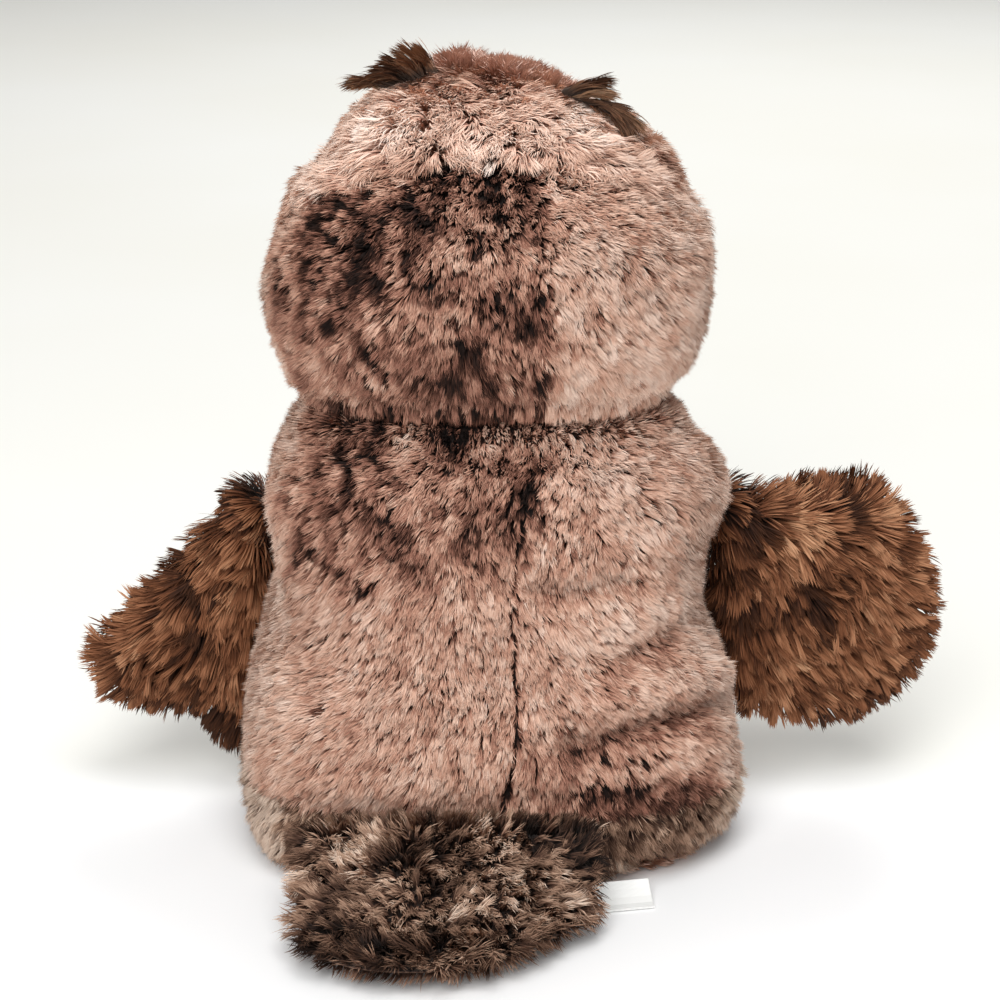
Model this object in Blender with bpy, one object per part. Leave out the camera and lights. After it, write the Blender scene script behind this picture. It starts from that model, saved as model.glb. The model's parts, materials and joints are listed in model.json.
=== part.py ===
"""A plush owl that sits upright on a flat seat, as separate sewn, stuffed and moulded pieces.

Lengths are in metres and +Z is up. The origin is the middle of the seat, on the table.
The owl faces -Y, so its tail lies on the table at +Y and its own left side is at +X.
A skin is as thick as its pile, so its outer face lies where the tips of the fur end.
A place on a form counts its rows of shares from the bottom, and may fall between two rows.
"""

import math
from collections import namedtuple

import bmesh
import bpy
from mathutils import Vector

MM = 0.001
HALVINGS = 40  # steps of a search for a place or an angle
SHARP_ANGLE = 50  # degrees between facets, over which an edge shows sharp

# Clearances
SEAM_GAP = 0.3 * MM  # between two panels that are sewn edge to edge
SEAT_GAP = 0.5 * MM  # under a piece that is sewn onto a curved skin
FILL_GAP = 0.9 * MM  # between a skin and its filling, whose facets differ
BALL_GAP = 0.6 * MM  # round a ball of filling that turns in its hollow

# Torso
TORSO_HEIGHT = 143 * MM
TORSO_WIDTH = 168 * MM
TORSO_DEPTH = 128 * MM
TORSO_SQUARENESS = 2.35
TORSO_BASE_SQUARENESS = 3.3  # where it sits, and its corners spread
TORSO_PILE = 7 * MM
TORSO_ROW_SHARES = (  # height, half width, depth to the back, depth to the front
    (0.00, 0.89, 0.84, 0.82),
    (0.06, 0.965, 0.95, 0.94),
    (0.16, 1.00, 1.00, 1.00),
    (0.34, 0.97, 0.98, 1.02),
    (0.45, 0.92, 0.94, 1.00),
    (0.56, 0.855, 0.89, 0.97),
    (0.70, 0.845, 0.87, 0.92),
    (0.84, 0.885, 0.84, 0.86),
    (0.93, 0.85, 0.78, 0.78),
    (1.00, 0.77, 0.68, 0.68),
)
BACK_SEAM = 94  # degrees round Z from +X, for the seam down the back
SIDE_SEAM = 14  # degrees that each side seam lies in front of the widest line
TAIL_SEAM_SHARE = 0.21  # of the torso's height, for the seam above the rump
TORSO_STEPS = (8, 8, 12)  # facets over the back's left, its right and the belly
TORSO_RINGS = 10
RUMP_RINGS = 3
POUCH_RADIUS = 44 * MM
POUCH_HEIGHT = 20 * MM
POUCH_RINGS = 3

# Neck
CREASE = 10 * MM  # open height of the crease between the torso and the head
NECK_RADIUS = 20 * MM
NECK_RINGS = 10
HOLLOW_RINGS = 4
NECK_SLOPE_SHARE = 0.18  # how far the crease rises towards the back, as a share of the way there
NECK_SLOPE_REACH = 60 * MM  # over and under the crease, where the slope has died away

# Head
HEAD_HEIGHT = 103 * MM
HEAD_WIDTH = 143 * MM
HEAD_DEPTH = 120 * MM
HEAD_SQUARENESS = 2.4
HEAD_PILE = 7 * MM
HEAD_ROW_SHARES = (
    (0.00, 0.83, 0.78, 0.80),
    (0.06, 0.91, 0.89, 0.92),
    (0.20, 0.97, 0.98, 1.00),
    (0.37, 1.00, 1.00, 1.04),
    (0.52, 0.98, 0.97, 1.03),
    (0.66, 0.88, 0.89, 0.95),
    (0.78, 0.75, 0.77, 0.82),
    (0.88, 0.61, 0.62, 0.65),
    (0.955, 0.41, 0.41, 0.43),
    (1.00, 0.00, 0.00, 0.00),
)
HEAD_SEAM = 101
HEAD_SIDE_SEAM = 20
FACE_SEAM = 58
HEAD_STEPS = (9, 7, 3, 6, 3)  # facets over back left, back right, right side, face and left side
HEAD_RINGS = 8
HEAD_FILLING_RINGS = 11
CROWN_RINGS = 7
CROWN_SIDE_PLACE = 3.9
CROWN_TOP_PLACE = 6.4
CROWN_ARCH = 0.8

# Face
DISC_RADIUS = 25 * MM
DISC_THICKNESS = 3 * MM
DISC_SPREAD_SHARE = 0.37  # of half the head's width, from the middle to a disc's centre
DISC_HEIGHT_SHARE = 0.47
DISC_STEPS = 20
DISC_RINGS = 3
EYE_RADIUS = 8 * MM
EYE_DOME = 5 * MM
SHANK_RADIUS = 2.5 * MM
SHANK_CLEARANCE = 0.3 * MM
SHANK_TAIL = 3 * MM  # of shank behind the washer
WASHER_RADIUS = 6.5 * MM
WASHER_THICKNESS = 1.5 * MM
EYE_STEPS = 16
EYE_RINGS = 3
BEAK_WIDTH = 17 * MM
BEAK_HEIGHT = 22 * MM
BEAK_LENGTH = 15 * MM
BEAK_DROP = 9 * MM
BEAK_HEIGHT_SHARE = 0.36
BEAK_TAPER = 0.8
BEAK_STEPS = 12
BEAK_RINGS = 4

# Tufts and brow on top of the head
LEFT_TUFT_SPREAD_SHARE = 0.43  # of half the head's width, from its middle
LEFT_TUFT_LEAN = -6 * MM  # outward
LEFT_TUFT_LENGTH = 13 * MM
RIGHT_TUFT_SPREAD_SHARE = 0.545
RIGHT_TUFT_LEAN = 11 * MM
RIGHT_TUFT_LENGTH = 9 * MM
TUFT_FORWARD = 6 * MM
TUFT_WIDTH = 24 * MM
TUFT_DEPTH = 12 * MM
TUFT_STEPS = 10
TUFT_RINGS = 4
BROW_WIDTH = 44 * MM
BROW_DEPTH = 16 * MM
BROW_FORWARD = 22 * MM
BROW_THICKNESS = 5 * MM
BROW_EDGE_SHARE = 0.3  # of its thickness, which is left at its edges
BROW_STEPS = (8, 3)
Tuft = namedtuple("Tuft", "side spread_share lean length")
TUFTS = {
    "left": Tuft(1, LEFT_TUFT_SPREAD_SHARE, LEFT_TUFT_LEAN, LEFT_TUFT_LENGTH),
    "right": Tuft(-1, RIGHT_TUFT_SPREAD_SHARE, RIGHT_TUFT_LEAN, RIGHT_TUFT_LENGTH),
}

# Wings
WING_HEIGHT = 105 * MM  # of the root over the table
WING_ROOT_RADIUS = 9 * MM
LEFT_WING_REACH = 79 * MM  # from the root's centre to the tip
RIGHT_WING_REACH = 83 * MM
WING_BULGE = 11 * MM
WING_EDGE = 2.4 * MM
WING_CORE = 4 * MM
WING_NECK_SHARE = 0.42  # of the bulge, which is left at the root
WING_NECK_LENGTH_SHARE = 0.45  # of the length, over which the wing fills out
LEFT_WING_SHARES = (0.80, 0.95, 1.00, 1.00, 0.99, 0.94, 0.84)  # of the reach, up from the low edge
RIGHT_WING_SHARES = (0.78, 0.89, 0.98, 1.00, 0.92, 0.77, 0.62)
WING_STEPS = (12, 6)
ROOT_STEPS = (16, 8)
Wing = namedtuple("Wing", "side droop spread reach reach_shares")
WINGS = {
    "left": Wing(1, 57, 26, LEFT_WING_REACH, LEFT_WING_SHARES),  # hangs half folded
    "right": Wing(-1, 38, 45, RIGHT_WING_REACH, RIGHT_WING_SHARES),  # stands fanned out
}

# Tail
TAIL_WIDTH = 96 * MM
TAIL_OFFSET = 13 * MM
TAIL_LENGTH = 47 * MM
TAIL_ROOT_RADIUS = 7 * MM
TAIL_TIP = 4 * MM
TAIL_DROP = 18.5 * MM
TAIL_CORE = 2 * MM
TAIL_LENGTH_SHARES = (0.52, 0.82, 0.95, 1.00, 1.00, 0.96, 0.80)
TAIL_STEPS = (12, 8)
FLAP_SIDE_SHARE = 0.45  # of a flap's thickness, which is left at its side edges
FLAP_ROOT_CHECKS = 8  # heights at which a flap's round root is fitted to the body

# Feet
FOOT_TURN = 27  # degrees round Z from the front to the middle of each foot
FOOT_WIDTH = 36 * MM
FOOT_LENGTH = 27 * MM
FOOT_ROOT_RADIUS = 8 * MM
FOOT_GAP = -0.4 * MM  # to the belly's smooth form, which lies outside its facets
FOOT_TIP = 5 * MM
FOOT_LENGTH_SHARES = (0.70, 0.86, 0.74, 0.94, 1.00, 0.94, 0.74, 0.86, 0.70)
FOOT_STEPS = (16, 7)
TOES = 3
TOE_GROOVE_SHARE = 0.35  # of a foot's thickness, taken away between its toes
TABLE_GAP = 0.4 * MM  # under a tail or foot that only just lies on the table

# Blank tab sewn into the seat's seam
TAB_WIDTH = 19 * MM
TAB_LENGTH = 9 * MM
TAB_THICKNESS = 0.7 * MM
TAB_SIDE = -41 * MM
TAB_STEPS = 4
TAB_SAG = 5 * MM

FROSTED = ("frosted_fur", (0.52, 0.36, 0.28), 0.95)
MOTTLED = ("mottled_fur", (0.22, 0.14, 0.10), 0.95)
CREAM = ("cream_fur", (0.72, 0.55, 0.45), 0.95)
SHAGGY = ("shaggy_fur", (0.20, 0.11, 0.07), 0.95)
DARK = ("dark_tuft_fur", (0.12, 0.08, 0.05), 0.95)
DISC_PLUSH = ("disc_plush", (0.80, 0.68, 0.56), 0.95)
FELT = ("beak_felt", (0.55, 0.36, 0.16), 0.9)
FOOT_PLUSH = ("foot_plush", (0.50, 0.34, 0.22), 0.95)
FIBRE = ("fibre_fill", (0.88, 0.88, 0.86), 1.0)
POUCH_CLOTH = ("pouch_cloth", (0.80, 0.80, 0.78), 0.9)
EYE_PLASTIC = ("eye_plastic", (0.02, 0.012, 0.008), 0.08)
WASHER_PLASTIC = ("washer_plastic", (0.85, 0.85, 0.85), 0.4)
TAB_SATIN = ("tab_satin", (0.88, 0.88, 0.87), 0.5)

Form = namedtuple("Form", "base height half_width half_depth squareness low row_shares")
Flap = namedtuple(
    "Flap", "centre heading half_width length root tip drop core length_shares toes"
)

TORSO = Form(
    0.0, TORSO_HEIGHT, TORSO_WIDTH / 2, TORSO_DEPTH / 2, TORSO_SQUARENESS,
    TORSO_BASE_SQUARENESS, TORSO_ROW_SHARES,
)
HEAD = Form(
    TORSO_HEIGHT + CREASE, HEAD_HEIGHT, HEAD_WIDTH / 2, HEAD_DEPTH / 2, HEAD_SQUARENESS,
    HEAD_SQUARENESS, HEAD_ROW_SHARES,
)
NECK = Vector((0.0, 0.0, TORSO_HEIGHT + CREASE / 2))


def clear_scene():
    for thing in list(bpy.data.objects):
        bpy.data.objects.remove(thing)


def material(look):
    """A plain material of one name, colour and roughness, made once."""
    name, colour, roughness = look
    found = bpy.data.materials.get(name)
    if found:
        return found
    made = bpy.data.materials.new(name)
    made.use_nodes = True
    shader = made.node_tree.nodes["Principled BSDF"]
    shader.inputs["Base Color"].default_value = (*colour, 1.0)
    shader.inputs["Roughness"].default_value = roughness
    shader.inputs["Metallic"].default_value = 0.0
    made.diffuse_color = (*colour, 1.0)
    return made


def holder(name, pivot, parent=None):
    """An empty on a joint's axis, which carries the pieces that move with it."""
    empty = bpy.data.objects.new(name, None)
    bpy.context.scene.collection.objects.link(empty)
    empty["pivot"] = tuple(pivot)
    start = Vector(parent["pivot"]) if parent else Vector()
    empty.parent = parent
    empty.location = Vector(pivot) - start
    return empty


def piece(name, points, faces, look, carrier):
    """One object from world points, with its origin on its carrier's pivot."""
    pivot = Vector(carrier["pivot"])
    mesh = bpy.data.meshes.new(name)
    mesh.from_pydata([tuple(p - pivot) for p in points], [], faces)
    bm = bmesh.new()
    bm.from_mesh(mesh)
    bmesh.ops.recalc_face_normals(bm, faces=bm.faces)
    bm.to_mesh(mesh)
    bm.free()
    mesh.shade_smooth()
    mesh.set_sharp_from_angle(angle=math.radians(SHARP_ANGLE))
    mesh.materials.append(material(look))
    made = bpy.data.objects.new(name, mesh)
    made.parent = carrier
    bpy.context.scene.collection.objects.link(made)
    return made


def spline(values, place):
    """The values at a place among rows of shares, on a smooth curve through every row."""
    last = len(values) - 1
    k = max(0, min(int(place), last - 1))
    t = place - k
    a, b = values[k], values[k + 1]
    before = values[k - 1] if k > 0 else [2 * p - q for p, q in zip(a, b)]
    if k + 2 <= last:
        after = values[k + 2]
    elif b[-1] == 0:
        after = [a[0]] + [-p for p in a[1:]]
    else:
        after = [2 * q - p for p, q in zip(a, b)]
    return [
        q + 0.5 * t * (r - p + t * (2 * p - 5 * q + 4 * r - s + t * (3 * (q - r) + s - p)))
        for p, q, r, s in zip(before, a, b, after)
    ]


def spread_share(shares, share):
    """A share read from a list of them spread evenly from 0 to 1."""
    rows = [(value, 1.0) for value in shares]
    return spline(rows, share * (len(shares) - 1))[0]


def neck_slope(y, z):
    """How far the crease's slope lifts a point, which is nothing far from the crease."""
    fade = max(0.0, 1 - abs(z - NECK.z) / NECK_SLOPE_REACH)
    return NECK_SLOPE_SHARE * y * fade**2


def form_point(form, angle, place):
    """The point on a form's outer face at an angle round Z and a place among its rows."""
    height, width, back, front = spline(form.row_shares, place)
    across = width * form.half_width
    deep = (back if math.sin(angle) > 0 else front) * form.half_depth
    z = form.base + height * form.height
    if across <= 0 or deep <= 0:
        return Vector((0.0, 0.0, z))
    n = form.squareness + (form.low - form.squareness) * max(0.0, 1 - height) ** 2
    reach = (abs(math.cos(angle)) / across) ** n + (abs(math.sin(angle)) / deep) ** n
    radius = reach ** (-1 / n)
    y = radius * math.sin(angle)
    return Vector((radius * math.cos(angle), y, z + neck_slope(y, z)))


def form_normal(form, angle, place):
    """The outward direction of a form's face, read from points a little to each side."""
    step_share = 0.002
    top = len(form.row_shares) - 1 - 2 * step_share
    place = min(max(place, step_share), top)
    turn = form_point(form, angle + step_share, place) - form_point(form, angle - step_share, place)
    rise = form_point(form, angle, place + step_share) - form_point(form, angle, place - step_share)
    return turn.cross(rise).normalized()


def at_pole(form, place):
    """Whether a place is the top of a form that closes there."""
    return form.row_shares[-1][1] == 0 and place >= len(form.row_shares) - 1


def sunk(form, angle, place, depth):
    """The point that lies depth under a form's face, or over it where depth is negative."""
    if at_pole(form, place):
        return form_point(form, angle, place) - Vector((0, 0, depth))
    return form_point(form, angle, place) - depth * form_normal(form, angle, place)


def place_at(form, z):
    """The place among a form's rows that has the height z."""
    low, high = 0.0, len(form.row_shares) - 1.0
    for _ in range(HALVINGS):
        middle = (low + high) / 2
        if form_point(form, 0.0, middle).z < z:
            low = middle
        else:
            high = middle
    return low


def on_front(form, x, z, depth):
    """The point of a form's front at x across and z up, sunk by depth."""
    place = place_at(form, z)
    low, high = math.radians(-180), math.radians(0)
    for _ in range(HALVINGS):
        middle = (low + high) / 2
        if form_point(form, middle, place).x < x:
            low = middle
        else:
            high = middle
    return sunk(form, low, place, depth)


def on_top(form, x, y, depth):
    """The point of a form's dome over a place in plan, sunk by depth."""
    angle, radius = math.atan2(y, x), math.hypot(x, y)
    low, high = len(form.row_shares) / 2, len(form.row_shares) - 1.0
    for _ in range(HALVINGS):
        middle = (low + high) / 2
        if form_point(form, angle, middle).xy.length > radius:
            low = middle
        else:
            high = middle
    return sunk(form, angle, low, depth)


def evenly(start, end, steps):
    return [start + (end - start) * k / steps for k in range(steps + 1)]


def turns(start, end, steps, trim=0.0):
    """Angles in radians from start to end in degrees, drawn in by trim at both ends."""
    return evenly(math.radians(start) + trim, math.radians(end) - trim, steps)


def ring_turns(pieces):
    """All the angles of a ring that is made of runs of (start, end, steps)."""
    return [a for start, end, steps in pieces for a in turns(start, end, steps)[:-1]]


def net(rows, start, wrap):
    """Faces over rows of points numbered from start. A row of one point is a pole."""
    faces = []
    first = start
    for low, high in zip(rows, rows[1:]):
        second = first + len(low)
        count = max(len(low), len(high))
        for j in range(count if wrap else count - 1):
            k = (j + 1) % count
            if len(low) == 1:
                faces.append((first, second + k, second + j))
            elif len(high) == 1:
                faces.append((first + j, first + k, second))
            else:
                faces.append((first + j, first + k, second + k, second + j))
        first = second
    return faces


def rim(outer, inner, wrap):
    """Faces that join two edges of point numbers."""
    count = len(outer)
    return [
        (outer[j], outer[(j + 1) % count], inner[(j + 1) % count], inner[j])
        for j in range(count if wrap else count - 1)
    ]


def shell(name, outer, inner, look, carrier, wrap=False):
    """A closed solid between an outer and an inner net of points, row by row."""
    points = [p for row in outer for p in row]
    shift = len(points)
    points += [p for row in inner for p in row]
    faces = net(outer, 0, wrap) + net(inner, shift, wrap)
    starts = [sum(len(row) for row in outer[:k]) for k in range(len(outer))]
    for k in (0, len(outer) - 1):
        if len(outer[k]) > 1:
            edge = [starts[k] + j for j in range(len(outer[k]))]
            faces += rim(edge, [shift + n for n in edge], wrap)
    if not wrap:
        for side in (0, -1):
            edge = [s + (len(row) - 1) * -side for s, row in zip(starts, outer)]
            faces += rim(edge, [shift + n for n in edge], False)
    return piece(name, points, faces, look, carrier)


def loft(name, rings, look, carrier):
    """A closed solid through rings of points whose first and last rings are poles."""
    points = [p for ring in rings for p in ring]
    return piece(name, points, net(rings, 0, True), look, carrier)


def frame_along(direction):
    """A rotation that takes +Z to a direction."""
    return direction.to_track_quat("Z", "Y").to_matrix()


def turned(name, centre, direction, profile, steps, look, carrier):
    """A solid turned about a direction, from (radius, height) points. A ring's profile closes."""
    turn = frame_along(direction)
    rings = []
    for radius, height in profile:
        angles = turns(0, 360, steps)[:-1] if radius else [0.0]
        spots = [Vector((radius * math.cos(a), radius * math.sin(a), height)) for a in angles]
        rings.append([centre + turn @ p for p in spots])
    if profile[0][0] == 0:
        return loft(name, rings, look, carrier)
    points = [p for ring in rings for p in ring]
    faces = net(rings + rings[:1], 0, True)
    return piece(name, points, [tuple(n % len(points) for n in f) for f in faces], look, carrier)


def cutter(name, centre, direction, radius, low, high, carrier):
    """A round cutter along a direction, which the parts list leaves out."""
    profile = [(0, low), (radius, low), (radius, high), (0, high)]
    made = turned(name, centre, direction, profile, EYE_STEPS, WASHER_PLASTIC, carrier)
    made.hide_render = True
    made.display_type = "WIRE"
    return made


def cut(target, tool):
    modifier = target.modifiers.new("cut_" + tool.name, "BOOLEAN")
    modifier.operation = "DIFFERENCE"
    modifier.solver = "EXACT"
    modifier.object = tool


def panel(name, form, angles, bottoms, tops, rings, thickness, look, carrier, wrap=False):
    """A skin over a form, between a lower and an upper place that may change with the angle."""
    nets = []
    for depth in (0.0, thickness):
        rows = []
        for share in evenly(0.0, 1.0, rings):
            row = [
                sunk(form, a, low + (high - low) * share, depth)
                for a, low, high in zip(angles, bottoms, tops)
            ]
            ends = share == 1 and at_pole(form, min(tops))
            rows.append(row[:1] if ends else row)
        nets.append(rows)
    return shell(name, nets[0], nets[1], look, carrier, wrap)


def seam_turn(form):
    """Half a seam's gap as an angle round a form."""
    return SEAM_GAP / 2 / form.half_depth


def seam_place(form):
    """Half a seam's gap as a place among a form's rows."""
    return SEAM_GAP / 2 / form.height * (len(form.row_shares) - 1)


def torso_skins(torso):
    """Two back panels, a belly, a mottled rump under the tail's seam, and the seat."""
    trim, gap = seam_turn(TORSO), seam_place(TORSO)
    top = len(TORSO_ROW_SHARES) - 1
    crease = place_at(TORSO, TAIL_SEAM_SHARE * TORSO_HEIGHT)
    left, right, front = TORSO_STEPS
    runs = {
        "left": turns(-SIDE_SEAM, BACK_SEAM, left, trim),
        "right": turns(BACK_SEAM, 180 + SIDE_SEAM, right, trim),
        "belly": turns(180 + SIDE_SEAM, 360 - SIDE_SEAM, front, trim),
    }
    for side in ("left", "right"):
        angles = runs[side]
        low, high = [crease + gap] * len(angles), [top] * len(angles)
        panel(
            "body_back_%s_panel" % side, TORSO, angles, low, high, TORSO_RINGS, TORSO_PILE,
            FROSTED, torso,
        )
    angles = runs["belly"]
    low, high = [0.0] * len(angles), [top] * len(angles)
    panel("belly_panel", TORSO, angles, low, high, TORSO_RINGS + RUMP_RINGS - 1, TORSO_PILE,
          CREAM, torso)
    angles = torso_ring()[:left + right + 1]
    angles[0] += trim
    angles[-1] -= trim
    low, high = [0.0] * len(angles), [crease - gap] * len(angles)
    panel("rump_panel", TORSO, angles, low, high, RUMP_RINGS, TORSO_PILE, MOTTLED, torso)


def torso_ring():
    left, right, front = TORSO_STEPS
    return ring_turns(
        [
            (-SIDE_SEAM, BACK_SEAM, left),
            (BACK_SEAM, 180 + SIDE_SEAM, right),
            (180 + SIDE_SEAM, 360 - SIDE_SEAM, front),
        ]
    )


def drawn_in(point, by):
    """The point moved level towards the Z axis."""
    flat = Vector((point.x, point.y, 0.0))
    return point - by * flat.normalized()


def seat_rings():
    """The seat's lower and upper edge, each drawn in by the seam's gap."""
    ring = torso_ring()
    low = [drawn_in(sunk(TORSO, a, 0.0, 0.0), SEAM_GAP) for a in ring]
    high = [drawn_in(sunk(TORSO, a, 0.0, TORSO_PILE), SEAM_GAP) for a in ring]
    return low, high


def seat_panel(torso):
    low, high = seat_rings()
    level = min(p.z for p in high)
    high = [Vector((p.x, p.y, level)) for p in high]
    rings = [[Vector((0, 0, 0))], low, high, [Vector((0, 0, level))]]
    return loft("seat_panel", rings, SHAGGY, torso)


def pouch_profile(grow):
    """(radius, height over the seat) up a flattened pouch, from its rim to its top."""
    points = []
    for angle in turns(0, 90, POUCH_RINGS):
        radius = (POUCH_RADIUS + grow) * math.cos(angle)
        points.append((radius, (POUCH_HEIGHT + grow) * math.sin(angle)))
    return points[:-1] + [(0.0, POUCH_HEIGHT + grow)]


def seat_level():
    return min(p.z for p in seat_rings()[1])


def pellet_pouch(torso):
    """A cloth bag of pellets that weighs the seat down."""
    base = seat_level() + SEAM_GAP
    profile = [(0.0, 0.0)] + pouch_profile(0.0)
    steps = sum(TORSO_STEPS)
    centre = Vector((0, 0, base))
    return turned("pellet_pouch", centre, Vector((0, 0, 1)), profile, steps, POUCH_CLOTH, torso)


def level_ring(ring, radius, z):
    return [Vector((radius * math.cos(a), radius * math.sin(a), z)) for a in ring]


def hollow_rings(ring, way):
    """Rings of the round hollow that a filling has for the neck's ball, from edge to pole."""
    radius = NECK_RADIUS + BALL_GAP
    edge = math.degrees(math.asin((CREASE / 4) / radius))
    rings = []
    for angle in turns(edge, 90, HOLLOW_RINGS)[:-1]:
        z = NECK.z + way * radius * math.sin(angle)
        rings.append(level_ring(ring, radius * math.cos(angle), z))
    return rings + [[Vector((0, 0, NECK.z + way * radius))]]


def torso_filling(torso):
    """The torso's fibre, hollow underneath for the pouch and on top for the neck's ball."""
    ring = torso_ring()
    depth = TORSO_PILE + FILL_GAP
    base = seat_level() + SEAM_GAP
    under = [
        level_ring(ring, radius, base + height)
        for radius, height in reversed(pouch_profile(FILL_GAP)[:-1])
    ]
    top = len(TORSO_ROW_SHARES) - 1
    sides = []
    for place in evenly(0.0, top, TORSO_RINGS + RUMP_RINGS - 1):
        sides.append([sunk(TORSO, a, place, depth) for a in ring])
    sides[0] = [Vector((p.x, p.y, base)) for p in sides[0]]
    pole = [Vector((0, 0, base + POUCH_HEIGHT + FILL_GAP))]
    rings = [pole] + under + sides + hollow_rings(ring, -1)
    return loft("body_filling", rings, FIBRE, torso)


def head_runs():
    left, right, right_side, face, left_side = HEAD_STEPS
    return {
        "back_left": (-HEAD_SIDE_SEAM, HEAD_SEAM, left),
        "back_right": (HEAD_SEAM, 180 + HEAD_SIDE_SEAM, right),
        "side_right": (180 + HEAD_SIDE_SEAM, 180 + FACE_SEAM, right_side),
        "face": (180 + FACE_SEAM, 360 - FACE_SEAM, face),
        "side_left": (360 - FACE_SEAM, 360 - HEAD_SIDE_SEAM, left_side),
    }


def crown_place(angle):
    """The place of the crown's seam, which arches up at the back and the front."""
    rise = abs(math.sin(angle)) ** CROWN_ARCH
    return CROWN_SIDE_PLACE + (CROWN_TOP_PLACE - CROWN_SIDE_PLACE) * rise


def head_skins(head):
    trim, gap = seam_turn(HEAD), seam_place(HEAD)
    looks = {"back_left": FROSTED, "back_right": FROSTED}
    made = {}
    for name, (start, end, steps) in head_runs().items():
        angles = turns(start, end, steps, trim)
        tops = [crown_place(a) - gap for a in angles]
        bottoms = [0.0] * len(angles)
        made[name] = panel(
            "head_%s_panel" % name, HEAD, angles, bottoms, tops, HEAD_RINGS, HEAD_PILE,
            looks.get(name, CREAM), head,
        )
    ring = ring_turns(head_runs().values())
    bottoms = [crown_place(a) + gap for a in ring]
    tops = [float(len(HEAD_ROW_SHARES) - 1)] * len(ring)
    panel("crown_panel", HEAD, ring, bottoms, tops, CROWN_RINGS, HEAD_PILE, CREAM, head, wrap=True)
    return made


def head_filling(head):
    """The head's fibre, hollow underneath for the neck's ball."""
    ring = ring_turns(head_runs().values())
    depth = HEAD_PILE + FILL_GAP
    top = len(HEAD_ROW_SHARES) - 1
    rings = list(reversed(hollow_rings(ring, 1)))
    for place in evenly(0.0, top, HEAD_FILLING_RINGS):
        row = [sunk(HEAD, a, place, depth) for a in ring]
        rings.append(row[:1] if place == top else row)
    return loft("head_filling", rings, FIBRE, head)


def ball(name, centre, radius, steps, rings, look, carrier):
    angles = turns(-90, 90, rings)
    profile = [(radius * math.cos(a), radius * math.sin(a)) for a in angles[1:-1]]
    profile = [(0, -radius)] + profile + [(0, radius)]
    return turned(name, centre, Vector((0, 0, 1)), profile, steps, look, carrier)


def disc_spot(side):
    """(x, z) of the middle of a facial disc."""
    x = side * DISC_SPREAD_SHARE * HEAD_WIDTH / 2
    return x, HEAD.base + DISC_HEIGHT_SHARE * HEAD_HEIGHT


def facial_disc(name, side, head):
    x, z = disc_spot(side)
    nets = []
    for depth in (-SEAT_GAP - DISC_THICKNESS, -SEAT_GAP):
        rows = [[on_front(HEAD, x, z, depth)]]
        for radius in evenly(0.0, DISC_RADIUS, DISC_RINGS)[1:]:
            spots = [(radius * math.cos(a), radius * math.sin(a)) for a in turns(0, 360, DISC_STEPS)]
            rows.append([on_front(HEAD, x + u, z + v, depth) for u, v in spots[:-1]])
        nets.append(rows)
    return shell(name, nets[0], nets[1], DISC_PLUSH, head, wrap=True)


def eye(side_name, side, disc, face, filling, head):
    """A domed eye whose shank goes through the disc and the face into a washer."""
    x, z = disc_spot(side)
    skin = on_front(HEAD, x, z, 0.0)
    outward = (on_front(HEAD, x, z, -SEAT_GAP) - skin).normalized()
    back = 2 * SEAT_GAP + DISC_THICKNESS  # the dome's flat back over the skin
    washer_top = -HEAD_PILE - 2 * FILL_GAP
    shank_end = washer_top - WASHER_THICKNESS - SHANK_TAIL
    dome = [
        (EYE_RADIUS * math.cos(a), back + EYE_DOME * math.sin(a)) for a in turns(0, 90, EYE_RINGS)
    ]
    profile = [(0, shank_end), (SHANK_RADIUS, shank_end), (SHANK_RADIUS, back)]
    profile += dome[:-1] + [(0, back + EYE_DOME)]
    turned("eye_" + side_name, skin, outward, profile, EYE_STEPS, EYE_PLASTIC, head)
    bore = SHANK_RADIUS + SHANK_CLEARANCE
    low = washer_top - WASHER_THICKNESS
    ring = [(bore, low), (WASHER_RADIUS, low), (WASHER_RADIUS, washer_top), (bore, washer_top)]
    turned(
        "eye_washer_" + side_name, skin, outward, ring, EYE_STEPS, WASHER_PLASTIC, head
    )
    hole = cutter("hole_" + side_name, skin, outward, bore, washer_top, 2 * back, head)
    cut(disc, hole)
    cut(face, hole)
    pocket = cutter(
        "pocket_" + side_name, skin, outward, WASHER_RADIUS + FILL_GAP, shank_end - FILL_GAP,
        -HEAD_PILE / 2, head,
    )
    cut(filling, pocket)


def beak(head):
    """A small stuffed felt beak that points forward and down from between the discs."""
    z = HEAD.base + BEAK_HEIGHT_SHARE * HEAD_HEIGHT
    seat = -2 * SEAT_GAP - DISC_THICKNESS
    base = []
    for a in turns(0, 360, BEAK_STEPS)[:-1]:
        x, up = BEAK_WIDTH / 2 * math.cos(a), BEAK_HEIGHT / 2 * math.sin(a)
        base.append(on_front(HEAD, x, z + up, seat))
    middle = on_front(HEAD, 0.0, z, seat)
    rings = [[middle], base]
    for share in evenly(0.0, 1.0, BEAK_RINGS)[1:-1]:
        shift = Vector((0, -BEAK_LENGTH * math.sin(share * math.pi / 2), -BEAK_DROP * share**2))
        size = math.cos(share * math.pi / 2) ** BEAK_TAPER
        rings.append([middle + shift + size * (p - middle) for p in base])
    rings.append([middle + Vector((0, -BEAK_LENGTH, -BEAK_DROP))])
    return loft("beak", rings, FELT, head)


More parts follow.
